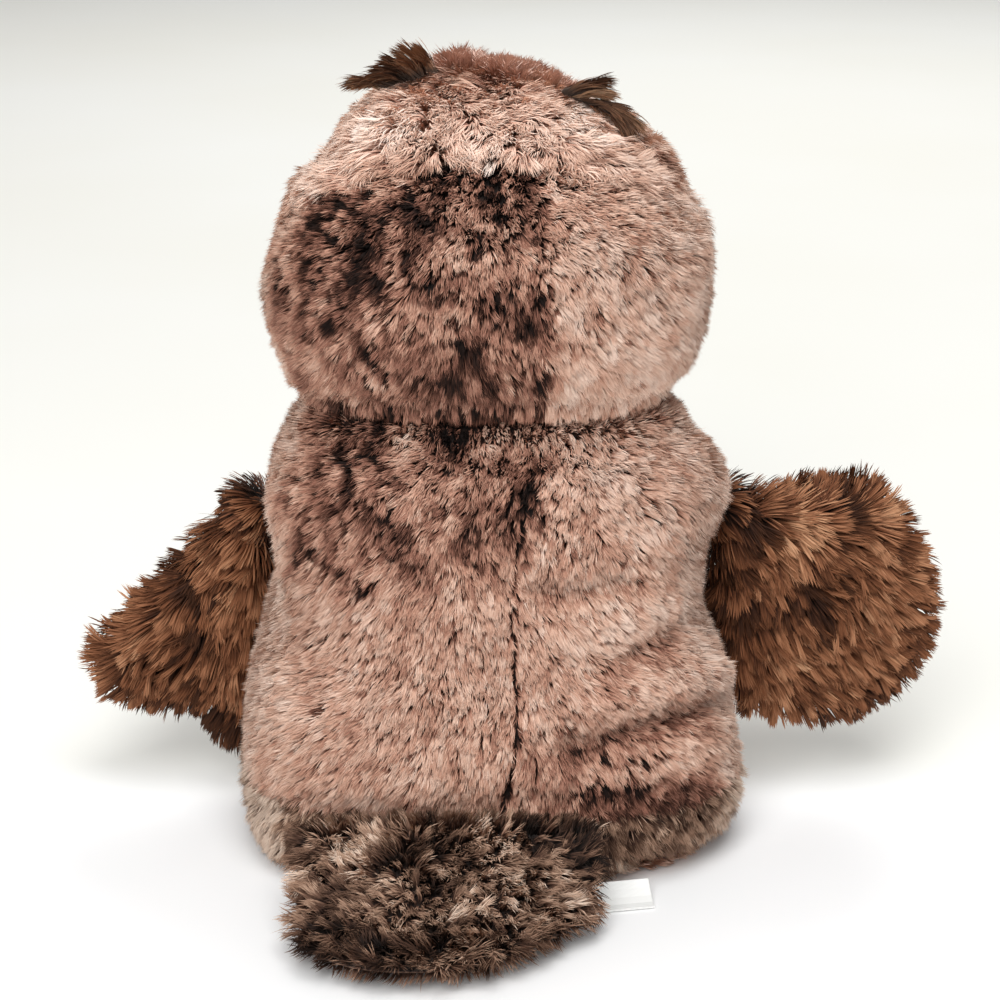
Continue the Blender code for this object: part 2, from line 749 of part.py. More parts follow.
def ear_tuft(side_name, head):
    """A flat tuft of long pile that leans over from the crown."""
    tuft = TUFTS[side_name]
    x, y = tuft.side * tuft.spread_share * HEAD_WIDTH / 2, -TUFT_FORWARD
    base = []
    for a in turns(0, 360, TUFT_STEPS)[:-1]:
        u, v = TUFT_WIDTH / 2 * math.cos(a), TUFT_DEPTH / 2 * math.sin(a)
        base.append(on_top(HEAD, x + u, y + v, -SEAT_GAP))
    middle = on_top(HEAD, x, y, -SEAT_GAP)
    rings = [[middle], base]
    for share in evenly(0.0, 1.0, TUFT_RINGS)[1:-1]:
        shift = Vector((tuft.side * tuft.lean * share**2, 0, tuft.length * share))
        size = math.sqrt(1 - share)
        rings.append([middle + shift + size * (p - middle) for p in base])
    rings.append([middle + Vector((tuft.side * tuft.lean, 0, tuft.length))])
    return loft("ear_tuft_" + side_name, rings, DARK, head)


def brow(head):
    """A ruffle of longer pile across the forehead, between the tufts."""
    across, along = BROW_STEPS
    nets = []
    for outer in (True, False):
        rows = []
        for v in evenly(-1.0, 1.0, along):
            row = []
            for u in evenly(-1.0, 1.0, across):
                full = (1 - u * u) * (1 - v * v)
                swell = BROW_EDGE_SHARE + (1 - BROW_EDGE_SHARE) * full
                depth = -SEAT_GAP - (BROW_THICKNESS * swell if outer else 0.0)
                x, y = u * BROW_WIDTH / 2, v * BROW_DEPTH / 2 - BROW_FORWARD
                row.append(on_top(HEAD, x, y, depth))
            rows.append(row)
        nets.append(rows)
    return shell("brow_ruffle", nets[0], nets[1], FROSTED, head)


def wing_root(wing):
    """The centre of a wing's gathered root, a ball that just meets the side seam."""
    place = place_at(TORSO, WING_HEIGHT)
    angle = math.radians(-SIDE_SEAM if wing.side > 0 else 180 + SIDE_SEAM)
    return sunk(TORSO, angle, place, -WING_ROOT_RADIUS - SEAT_GAP)


def wing_spot(wing, across, along, lift):
    """A point of a wing: across from -1 to 1, along from its root to its rim, lifted in Y."""
    start = WING_ROOT_RADIUS + BALL_GAP
    end = wing.reach * spread_share(wing.reach_shares, (across + 1) / 2)
    radius = start + (end - start) * along
    angle = math.radians(across * wing.spread - wing.droop)
    return wing_root(wing) + Vector(
        (wing.side * radius * math.cos(angle), lift, radius * math.sin(angle))
    )


def wing_swell(across, along):
    """How full a wing is, from 0 at its rim to 1 in its middle."""
    out = min(along / WING_NECK_LENGTH_SHARE, 1)
    neck = WING_NECK_SHARE + (1 - WING_NECK_SHARE) * math.sin(out * math.pi / 2)
    rim_fall = math.sqrt(max(0.0, 1 - abs(along) ** 4))
    side_fall = math.sqrt(max(0.0, 1 - abs(across) ** 3))
    return neck * rim_fall * side_fall


def core_swell(across, along):
    """How full a flat filling is, from 0 at the edges of its skins to 1 in the middle."""
    level = 2 * along - 1
    return math.sqrt(max(0.0, (1 - across**4) * (1 - level**4)))


def layer_lift(layer, outside, core):
    """Half the thickness at a layer of a flat stuffed piece: outside, inside or filling."""
    if layer == "outside":
        return max(outside, SEAM_GAP)
    if layer == "filling":
        return core
    return core + SEAM_GAP if core > 0 else SEAM_GAP / 2


def wing_lift(across, along, layer):
    outside = WING_EDGE + (WING_BULGE - WING_EDGE) * wing_swell(across, along)
    return layer_lift(layer, outside, WING_CORE * core_swell(across, along))


def flat_nets(spot, steps, layers, skip=0):
    """Two nets of points over a flat piece, leaving out skip lines along every edge."""
    across, along = steps
    nets = []
    for layer, way in layers:
        rows = []
        for v in evenly(0.0, 1.0, along)[skip:along + 1 - skip]:
            line = evenly(-1.0, 1.0, across)[skip:across + 1 - skip]
            rows.append([spot(u, v, layer, way) for u in line])
        nets.append(rows)
    return nets


def stuffed_flat(names, spot, steps, looks, carrier):
    """A flat piece of two skins and the filling between them, on the same net of lines."""
    for name, way, look in zip(names, (1, -1), looks):
        nets = flat_nets(spot, steps, (("outside", way), ("inside", way)))
        shell(name, nets[0], nets[1], look, carrier)
    nets = flat_nets(spot, steps, (("filling", 1), ("filling", -1)), skip=1)
    shell(names[2], nets[0], nets[1], FIBRE, carrier)


def make_wing(side_name, torso):
    """A gathered root that swings, and on it two skins and a filling that flap."""
    wing = WINGS[side_name]
    pivot = wing_root(wing)
    swing = holder("wing_%s_swing" % side_name, pivot, torso)
    flap = holder("wing_%s_flap" % side_name, pivot, swing)
    ball("wing_%s_root" % side_name, pivot, WING_ROOT_RADIUS, *ROOT_STEPS, SHAGGY, swing)

    def spot(across, along, layer, way):
        return wing_spot(wing, across, along, way * wing_lift(across, along, layer))

    names = ["wing_%s_%s" % (side_name, part) for part in ("back_skin", "front_skin", "filling")]
    stuffed_flat(names, spot, WING_STEPS, (SHAGGY, SHAGGY), flap)


def root_centre(angle, z, radius, gap):
    """The centre and heading of a round root at the height z, a gap away from the torso."""
    skin = form_point(TORSO, angle, place_at(TORSO, z))
    normal = form_normal(TORSO, angle, place_at(TORSO, z))
    heading = Vector((normal.x, normal.y, 0.0)).normalized()
    stand = 0.0
    for tilt in turns(-90, 90, FLAP_ROOT_CHECKS):
        place = place_at(TORSO, max(0.0, z + radius * math.sin(tilt)))
        bulge = (form_point(TORSO, angle, place) - skin).dot(heading)
        stand = max(stand, bulge + radius * math.cos(tilt))
    centre = skin + heading * (stand + gap)
    return Vector((centre.x, centre.y, z)), heading


def tail_flap():
    """The tail: a flap whose round root lies against the rump, just under the tail's seam."""
    z = TAIL_DROP + TAIL_ROOT_RADIUS + TABLE_GAP
    centre, heading = root_centre(math.radians(90), z, TAIL_ROOT_RADIUS, SEAT_GAP)
    centre.x = TAIL_OFFSET
    return Flap(
        centre, heading, TAIL_WIDTH / 2, TAIL_LENGTH, TAIL_ROOT_RADIUS, TAIL_TIP, TAIL_DROP,
        TAIL_CORE, TAIL_LENGTH_SHARES, 0,
    )


def foot_flap(side):
    """A foot: a flap whose round root lies against the belly, with three toes."""
    z = FOOT_ROOT_RADIUS + TABLE_GAP
    angle = math.radians(-90 + side * FOOT_TURN)
    centre, heading = root_centre(angle, z, FOOT_ROOT_RADIUS, FOOT_GAP)
    return Flap(
        centre, heading, FOOT_WIDTH / 2, FOOT_LENGTH, FOOT_ROOT_RADIUS, FOOT_TIP, 0.0, 0.0,
        FOOT_LENGTH_SHARES, TOES,
    )


def flap_thickness(flap, reach):
    """Half the thickness of a flap, round at its root and rounded off at its tip."""
    if reach <= 0:
        return math.sqrt(max(0.0, flap.root**2 - reach**2))
    share = min(reach / flap.length, 1.0)
    taper = flap.root + (flap.tip - flap.root) * share**2
    return taper * math.sqrt(max(0.0, 1 - share**6))


def toe_share(flap, across):
    """How deep the grooves between a foot's toes are at a place across it, from 0 to 1."""
    return 1 - math.sqrt(abs(math.cos(across * flap.toes * math.pi / 2))) if flap.toes else 0.0


def flap_spot(flap, across, along, layer, way):
    """A point of a flap: across from -1 to 1, along from its root's edge to its tip."""
    share = spread_share(flap.length_shares, (across + 1) / 2)
    reach = -flap.root + along * (flap.root + flap.length * share)
    level = reach / share if reach > 0 else reach
    side_fall = FLAP_SIDE_SHARE + (1 - FLAP_SIDE_SHARE) * math.sqrt(max(0.0, 1 - across**4))
    groove_fall = 1 - TOE_GROOVE_SHARE * toe_share(flap, across) * along
    outside = flap_thickness(flap, level) * side_fall * groove_fall
    lift = layer_lift(layer, outside, flap.core * core_swell(across, along))
    sink = min(max(level, 0.0) / flap.length, 1.0)
    drop = flap.drop * math.sin(sink * math.pi / 2)
    sideways = Vector((flap.heading.y, -flap.heading.x, 0.0))
    spot = flap.centre + across * flap.half_width * sideways + reach * flap.heading
    return spot + Vector((0.0, 0.0, way * lift - drop))


def make_tail(torso):
    """A mottled upper skin, an under skin and a thin filling, on a hinge along the seam."""
    flap = tail_flap()
    hinge = holder("tail_hinge", flap.centre, torso)

    def spot(across, along, layer, way):
        return flap_spot(flap, across, along, layer, way)

    names = ("tail_top_skin", "tail_under_skin", "tail_filling")
    stuffed_flat(names, spot, TAIL_STEPS, (MOTTLED, CREAM), hinge)


def make_foot(side_name, side, torso):
    """A stuffed foot with three toes, on a hinge along its seam."""
    flap = foot_flap(side)
    hinge = holder("foot_%s_hinge" % side_name, flap.centre, torso)

    def spot(across, along, layer, way):
        return flap_spot(flap, across, along, layer, way)

    nets = flat_nets(spot, FOOT_STEPS, (("outside", 1), ("outside", -1)))
    shell("foot_" + side_name, nets[0], nets[1], FOOT_PLUSH, hinge)


def sewn_in_tab(torso):
    """A blank folded tab that hangs out of the seat's seam beside the tail and droops."""
    edge = place_at(TORSO, TAB_THICKNESS + TAB_SAG)
    low, high = math.radians(90), math.radians(180)
    for _ in range(HALVINGS):
        middle = (low + high) / 2
        if form_point(TORSO, middle, edge).x > TAB_SIDE:
            low = middle
        else:
            high = middle
    seam = sunk(TORSO, low, edge, -SEAT_GAP)
    outward = form_normal(TORSO, low, edge)
    outward = Vector((outward.x, outward.y, 0)).normalized()
    sideways = Vector((-outward.y, outward.x, 0))
    nets = []
    for lift in (TAB_THICKNESS, 0.0):
        rows = []
        for share in evenly(0.0, 1.0, TAB_STEPS):
            drop = TAB_SAG * math.sin(share * math.pi / 2)
            middle = seam + outward * (SEAT_GAP + TAB_LENGTH * share)
            middle.z = TABLE_GAP + TAB_SAG - drop + lift
            rows.append([middle - sideways * TAB_WIDTH / 2, middle + sideways * TAB_WIDTH / 2])
        nets.append(rows)
    return shell("sewn_in_tab", nets[0], nets[1], TAB_SATIN, torso)


def main():
    clear_scene()
    torso = holder("torso", Vector())
    torso_skins(torso)
    seat_panel(torso)
    pellet_pouch(torso)
    torso_filling(torso)
    sewn_in_tab(torso)

    neck = holder("neck_turn", NECK, torso)
    head = holder("head_nod", NECK, neck)
    ball("neck_filling", NECK, NECK_RADIUS, sum(HEAD_STEPS), NECK_RINGS, FIBRE, neck)
    skins = head_skins(head)
    filling = head_filling(head)
    for side_name, side in (("left", 1), ("right", -1)):
        disc = facial_disc("facial_disc_" + side_name, side, head)
        eye(side_name, side, disc, skins["face"], filling, head)
        ear_tuft(side_name, head)
    beak(head)
    brow(head)

    for side_name, side in (("left", 1), ("right", -1)):
        make_wing(side_name, torso)
        make_foot(side_name, side, torso)
    make_tail(torso)


main()
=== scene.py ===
"""The dressed model of a plush owl: its skins, its fur as real strands, its face, and the studio.

Lengths are in metres and +Z is up. The owl faces -Y and the camera stands behind it, at +Y.
A place on a form counts its rows of shares from the bottom, as in the CAD source.
Places given in pixels are in the camera's picture of 1000 by 1000.
"""

import itertools
import json
import math

import bpy
import numpy as np
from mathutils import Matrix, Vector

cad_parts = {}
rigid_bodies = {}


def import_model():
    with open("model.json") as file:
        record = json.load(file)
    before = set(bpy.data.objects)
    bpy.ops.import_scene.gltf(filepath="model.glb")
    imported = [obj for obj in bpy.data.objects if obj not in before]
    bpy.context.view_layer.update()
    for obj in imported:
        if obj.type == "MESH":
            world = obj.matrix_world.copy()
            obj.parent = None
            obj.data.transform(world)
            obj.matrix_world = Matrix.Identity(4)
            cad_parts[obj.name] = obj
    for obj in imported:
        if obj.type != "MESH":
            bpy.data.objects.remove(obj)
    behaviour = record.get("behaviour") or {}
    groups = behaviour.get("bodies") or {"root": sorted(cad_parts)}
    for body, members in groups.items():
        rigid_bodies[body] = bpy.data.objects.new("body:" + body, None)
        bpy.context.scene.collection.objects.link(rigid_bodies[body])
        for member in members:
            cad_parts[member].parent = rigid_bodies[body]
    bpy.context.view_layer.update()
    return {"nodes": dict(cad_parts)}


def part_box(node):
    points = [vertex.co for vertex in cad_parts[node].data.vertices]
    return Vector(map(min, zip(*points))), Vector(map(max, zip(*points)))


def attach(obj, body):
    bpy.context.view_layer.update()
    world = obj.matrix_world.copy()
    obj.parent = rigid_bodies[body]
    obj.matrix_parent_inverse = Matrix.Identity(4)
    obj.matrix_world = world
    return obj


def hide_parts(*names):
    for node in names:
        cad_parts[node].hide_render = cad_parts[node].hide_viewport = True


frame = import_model()

MM = 0.001
rng = np.random.default_rng(20)

# Camera
AIM = np.array([-0.0033, 0.0, 0.114])
ELEVATION = math.radians(20)
DISTANCE = 0.8
FRAME_WIDTH = 0.325
SENSOR = 36.0
BACK = np.array([0.0, math.cos(ELEVATION), math.sin(ELEVATION)])
UP = np.array([0.0, -math.sin(ELEVATION), math.cos(ELEVATION)])
RIGHT = np.array([-1.0, 0.0, 0.0])
EYE = AIM + BACK * DISTANCE


def to_px(points):
    """The picture's pixel that shows each point."""
    d = points - EYE
    scale = DISTANCE / -(d @ BACK) / FRAME_WIDTH * 1000
    return 500 + d @ RIGHT * scale, 500 - d @ UP * scale


def smooth(x, low, high):
    t = np.clip((x - low) / (high - low), 0.0, 1.0)
    return t * t * (3 - 2 * t)


def unit(v):
    return v / (np.linalg.norm(v, axis=-1, keepdims=True) + 1e-12)


def line_distance(x, y, line):
    """How far each pixel place is from a line through pixel places."""
    best = np.full(np.shape(x), 1e9)
    for (x0, y0), (x1, y1) in zip(line, line[1:]):
        dx, dy = x1 - x0, y1 - y0
        t = np.clip(((x - x0) * dx + (y - y0) * dy) / (dx * dx + dy * dy), 0, 1)
        best = np.minimum(best, np.hypot(x - x0 - t * dx, y - y0 - t * dy))
    return best


# Repeatable noise


def lattice(cells, seed):
    """A number from 0 to 1 for each whole-number place."""
    c = cells.astype(np.int64).astype(np.uint64)
    n = c[..., 0] * np.uint64(374761393) + c[..., 1] * np.uint64(668265263)
    n += c[..., 2] * np.uint64(2246822519) + np.uint64(seed * 3266489917 + 97)
    n &= np.uint64(0xFFFFFFFF)
    n = (n ^ (n >> np.uint64(13))) * np.uint64(1274126177) & np.uint64(0xFFFFFFFF)
    n = (n ^ (n >> np.uint64(16))) * np.uint64(2654435761) & np.uint64(0xFFFFFFFF)
    n ^= n >> np.uint64(15)
    return n.astype(np.float64) / 4294967296.0


def noise(points, size, seed):
    """Smooth noise from 0 to 1 with blobs of one size."""
    p = points / size
    cell = np.floor(p)
    t = p - cell
    t = t * t * (3 - 2 * t)
    total = 0.0
    for corner in itertools.product((0, 1), repeat=3):
        w = np.prod(np.where(np.array(corner) == 1, t, 1 - t), axis=-1)
        total = total + w * lattice(cell + corner, seed)
    return total


def locks(points, size, seed):
    """The nearest lock of fur to each point: its centre, and the cell that names it."""
    p = points / size
    cell = np.floor(p)
    best = np.full(len(points), 1e9)
    centre = np.zeros_like(points)
    key = np.zeros_like(points)
    for step in itertools.product((-1, 0, 1), repeat=3):
        c = cell + step
        spot = c + np.stack([lattice(c, seed + k) for k in range(3)], -1)
        d = ((p - spot) ** 2).sum(-1)
        near = d < best
        best[near], centre[near], key[near] = d[near], spot[near], c[near]
    return centre * size, key


# Forms, with the same numbers as the CAD source


class Form:
    def __init__(self, base, height, width, depth, squareness, low, rows):
        self.base, self.height = base, height
        self.half_width, self.half_depth = width / 2, depth / 2
        self.squareness, self.low = squareness, low
        rows = np.array(rows)
        self.top = len(rows) - 1
        after = 2 * rows[-1] - rows[-2]
        if rows[-1][1] == 0:
            after = rows[-2] * np.array([1, -1, -1, -1])
        self.rows = np.vstack([2 * rows[0] - rows[1], rows, after])

    def shares(self, place):
        k = np.clip(place.astype(int), 0, self.top - 1)
        t = (place - k)[:, None]
        p, q, r, s = (self.rows[k + step] for step in range(4))
        return q + 0.5 * t * (r - p + t * (2 * p - 5 * q + 4 * r - s + t * (3 * (q - r) + s - p)))

    def point(self, angle, place):
        height, width, back, front = self.shares(place).T
        across = np.maximum(width * self.half_width, 1e-5)
        deep = np.maximum(np.where(np.sin(angle) > 0, back, front) * self.half_depth, 1e-5)
        n = self.squareness + (self.low - self.squareness) * np.maximum(0.0, 1 - height) ** 2
        reach = (abs(np.cos(angle)) / across) ** n + (abs(np.sin(angle)) / deep) ** n
        radius = reach ** (-1 / n)
        z = self.base + height * self.height
        y = radius * np.sin(angle)
        return np.stack([radius * np.cos(angle), y, z + neck_slope(y, z)], -1)

    def normal(self, angle, place):
        step = 0.004
        place = np.clip(place, step, self.top - step)
        turn = self.point(angle + step, place) - self.point(angle - step, place)
        rise = self.point(angle, place + step) - self.point(angle, place - step)
        return unit(np.cross(turn, rise))

    def place_at(self, z):
        places = np.linspace(0, self.top, 400)
        heights = self.point(np.zeros(400), places)[:, 2]
        return float(np.interp(z, heights, places))


NECK_Z = 148 * MM


def neck_slope(y, z):
    return 0.18 * y * np.maximum(0.0, 1 - abs(z - NECK_Z) / (60 * MM)) ** 2


TORSO = Form(
    0.0, 143 * MM, 168 * MM, 128 * MM, 2.35, 3.3,
    (
        (0.00, 0.89, 0.84, 0.82), (0.06, 0.965, 0.95, 0.94), (0.16, 1.00, 1.00, 1.00),
        (0.34, 0.97, 0.98, 1.02), (0.45, 0.92, 0.94, 1.00), (0.56, 0.855, 0.89, 0.97),
        (0.70, 0.845, 0.87, 0.92), (0.84, 0.885, 0.84, 0.86), (0.93, 0.85, 0.78, 0.78),
        (1.00, 0.77, 0.68, 0.68),
    ),
)
HEAD = Form(
    153 * MM, 103 * MM, 143 * MM, 120 * MM, 2.4, 2.4,
    (
        (0.00, 0.83, 0.78, 0.80), (0.06, 0.91, 0.89, 0.92), (0.20, 0.97, 0.98, 1.00),
        (0.37, 1.00, 1.00, 1.04), (0.52, 0.98, 0.97, 1.03), (0.66, 0.88, 0.89, 0.95),
        (0.78, 0.75, 0.77, 0.82), (0.88, 0.61, 0.62, 0.65), (0.955, 0.41, 0.41, 0.43),
        (1.00, 0.00, 0.00, 0.00),
    ),
)
PILE = 7 * MM
TAIL_SEAM = TORSO.place_at(0.21 * 143 * MM)

# Lines in the picture: how deep each goes (or how far it stands out), and how wide it is
BODY_SEAM = ((545, 420), (540, 460), (522, 516), (510, 586), (514, 652), (517, 718), (515, 752), (505, 800))
HEAD_SEAM = ((538, 165), (541, 250), (532, 330), (534, 425))
RELIEF = (
    (BODY_SEAM, -1.5, 8),
    (HEAD_SEAM, -0.8, 8),
    (((625, 655), (665, 640), (712, 610)), -4.2, 12),
    (((592, 706), (650, 688), (722, 668)), 5.4, 19),
    (((572, 744), (625, 730), (672, 714), (728, 696)), -6.0, 14),
    (((570, 778), (620, 768), (700, 752)), 3.0, 18),
    (((532, 588), (580, 590), (625, 578)), -4.2, 10),
    (((540, 560), (600, 556), (660, 545)), 2.4, 20),
    (((560, 640), (600, 628), (650, 600)), 2.6, 18),
    (((255, 806), (330, 812), (430, 812), (520, 802), (566, 798)), -3.5, 12),
    (((270, 765), (350, 775), (450, 770), (500, 760)), 2.2, 26),
    (((545, 765), (590, 765)), -3.0, 26),
    (((455, 820), (470, 760)), -0.8, 16),
    (((300, 470), (330, 520), (325, 570)), -1.4, 20),
    (((655, 470), (640, 520), (690, 575)), -1.6, 20),
    (((420, 530), (440, 640), (400, 720)), 1.8, 60),
    (((350, 225), (420, 205), (500, 200)), 1.6, 26),
    (((560, 215), (640, 210), (690, 240)), 1.6, 22),
)


OUTLINE = (  # x, y, reach and height of the broad swells and hollows of the outline
    (305, 125, 42, -5.5), (262, 215, 36, -2.5), (700, 172, 50, -2.5), (610, 50, 62, -7.0), (735, 480, 42, 4.5), (278, 470, 36, -1.5), (736, 856, 40, -5.5), (655, 885, 50, -6.0),
    (700, 590, 30, -1.5), (276, 590, 30, 1.5), (262, 300, 60, 0.8), (700, 390, 30, -2.0), (278, 400, 24, 1.5),
)


def relief(points, normals):
    """How far the folds and seams of the back move the skin along its normal."""
    x, y = to_px(points)
    total = np.zeros(len(points))
    for line, height, width in RELIEF:
        total += height * MM * np.exp(-((line_distance(x, y, line) / width) ** 2))
    lumps = (noise(points, 26 * MM, 3) - 0.5) * 2.6 * MM + (noise(points, 12 * MM, 4) - 0.5) * 1.4 * MM
    total *= smooth(normals @ BACK, 0.05, 0.4)
    for cx, cy, reach, height in OUTLINE:
        total += height * MM * np.exp(-((x - cx) ** 2 + (y - cy) ** 2) / reach**2)
    return total + lumps


class Patch:
    """A part of a form between two angles, and between a lower and an upper place."""

    def __init__(self, form, start, end, low, high):
        self.form, self.start, self.end = form, math.radians(start), math.radians(end)
        self.low = low if callable(low) else lambda a: np.full(np.shape(a), float(low))
        self.high = high if callable(high) else lambda a: np.full(np.shape(a), float(high))

    def at(self, u, v, depth=0.0):
        """Points and normals at shares u round and v up the patch, sunk by a depth."""
        angle = self.start + (self.end - self.start) * u
        low, high = self.low(angle), self.high(angle)
        place = low + (high - low) * v
        points = self.form.point(angle, place)
        normals = self.form.normal(angle, place)
        pole = place >= self.form.top - 0.02
        normals[pole & (self.form is HEAD)] = (0.0, 0.0, 1.0)
        shift = relief(points, normals) - depth
        return points + shift[:, None] * normals, normals


# Materials


def srgb(text):
    """A linear colour from six hexadecimal digits."""
    values = [int(text[k:k + 2], 16) / 255 for k in (0, 2, 4)]
    return tuple(v / 12.92 if v <= 0.04045 else ((v + 0.055) / 1.055) ** 2.4 for v in values) + (1.0,)


class Look:
    """A material and short ways to add nodes to it."""

    def __init__(self, name, roughness, sheen=0.0, sheen_colour="ffffff", specular=0.5):
        self.material = bpy.data.materials.new(name)
        self.material.use_nodes = True
        self.tree = self.material.node_tree
        self.shader = self.tree.nodes["Principled BSDF"]
        self.shader.inputs["Roughness"].default_value = roughness
        self.shader.inputs["Sheen Weight"].default_value = sheen
        self.shader.inputs["Sheen Roughness"].default_value = 0.5
        self.shader.inputs["Sheen Tint"].default_value = srgb(sheen_colour)
        self.shader.inputs["Specular IOR Level"].default_value = specular

    def node(self, kind, **inputs):
        made = self.tree.nodes.new("ShaderNode" + kind)
        for name, value in inputs.items():
            self.feed(made, name.replace("_", " "), value)
        return made

    def feed(self, node, name, value):
        socket = node.inputs[name]
        if isinstance(value, bpy.types.NodeSocket):
            self.tree.links.new(value, socket)
        else:
            socket.default_value = value

    def math(self, operation, a, b=0.0, c=0.0):
        made = self.tree.nodes.new("ShaderNodeMath")
        made.operation = operation
        for k, value in enumerate((a, b, c)):
            if isinstance(value, bpy.types.NodeSocket):
                self.tree.links.new(value, made.inputs[k])
            else:
                made.inputs[k].default_value = value
        return made.outputs[0]

    def ramp(self, factor, stops):
        made = self.tree.nodes.new("ShaderNodeValToRGB")
        elements = made.color_ramp.elements
        while len(elements) < len(stops):
            elements.new(0.5)
        for element, (place, colour) in zip(elements, stops):
            element.position, element.color = place, srgb(colour)
        self.tree.links.new(factor, made.inputs[0])
        return made.outputs[0]

    def mix(self, factor, a, b):
        made = self.tree.nodes.new("ShaderNodeMix")
        made.data_type = "RGBA"
        for k, value in ((0, factor), (6, a), (7, b)):
            if isinstance(value, bpy.types.NodeSocket):
                self.tree.links.new(value, made.inputs[k])
            else:
                made.inputs[k].default_value = value
        return made.outputs[2]

    def step(self, value, low, high):
        made = self.tree.nodes.new("ShaderNodeMapRange")
        made.interpolation_type = "SMOOTHSTEP"
        self.feed(made, "Value", value)
        made.inputs["From Min"].default_value = low
        made.inputs["From Max"].default_value = high
        return made.outputs[0]

    def noise(self, scale, detail=3.0, roughness=0.55):
        place = self.node("TexCoord").outputs["Object"]
        return self.node("TexNoise", Vector=place, Scale=scale, Detail=detail, Roughness=roughness).outputs["Fac"]

    def bump(self, height, distance, strength=1.0):
        made = self.node("Bump", Height=height, Distance=distance, Strength=strength)
        self.tree.links.new(made.outputs[0], self.shader.inputs["Normal"])

    def colour(self, value):
        self.feed(self.shader, "Base Color", value)


def fur_look(name, tips, middles, roots, low, high, shift=0.35, sheen=0.06):
    """Fur whose colour runs from root to tip, over a range of tones from dark to pale."""
    look = Look(name, 0.7, sheen, "ffe3d2", 0.18)
    places = look.node("UVMap")
    places.uv_map = "OFBake"
    split = look.node("SeparateXYZ", Vector=places.outputs[0])
    tone, along = split.outputs[0], split.outputs[1]
    along = look.math("ADD", along, look.math("MULTIPLY", look.math("SUBTRACT", tone, 0.5), shift))
    root, middle, tip = look.ramp(tone, roots), look.ramp(tone, middles), look.ramp(tone, tips)
    first = look.mix(look.step(along, low[0], low[1]), root, middle)
    look.colour(look.mix(look.step(along, high[0], high[1]), first, tip))
    return look.material


def cloth_look(name, dark, pale, scale=900.0):
    """A knitted backing cloth, which shows between the roots of the pile."""
    look = Look(name, 0.9, 0.2)
    cloudy = look.noise(60.0)
    place = look.node("TexCoord").outputs["Object"]
    waves = []
    for direction in ("X", "Z"):
        wave = look.node("TexWave", Vector=place, Scale=scale / 6, Distortion=1.5)
        wave.bands_direction = direction
        waves.append(wave.outputs["Fac"])
    knit = look.math("MULTIPLY", waves[0], waves[1])
    both = look.math("MULTIPLY_ADD", knit, 0.4, look.math("MULTIPLY", cloudy, 0.6))
    look.colour(look.ramp(both, ((0.15, dark), (0.75, pale))))
    look.bump(knit, 0.3 * MM, 0.6)
    return look.material


def felt_look():
    """Pressed felt: matted fibres with a dusty sheen."""
    look = Look("beak_felt", 0.95, 0.5, "ffe9c8", 0.2)
    fibres = look.noise(1500.0, 6.0, 0.7)
    both = look.math("MULTIPLY_ADD", fibres, 0.6, look.math("MULTIPLY", look.noise(160.0), 0.4))
    look.colour(look.ramp(both, ((0.3, "8c5a28"), (0.5, "ab743a"), (0.7, "c48d50"))))
    look.bump(fibres, 0.25 * MM, 0.8)
    return look.material


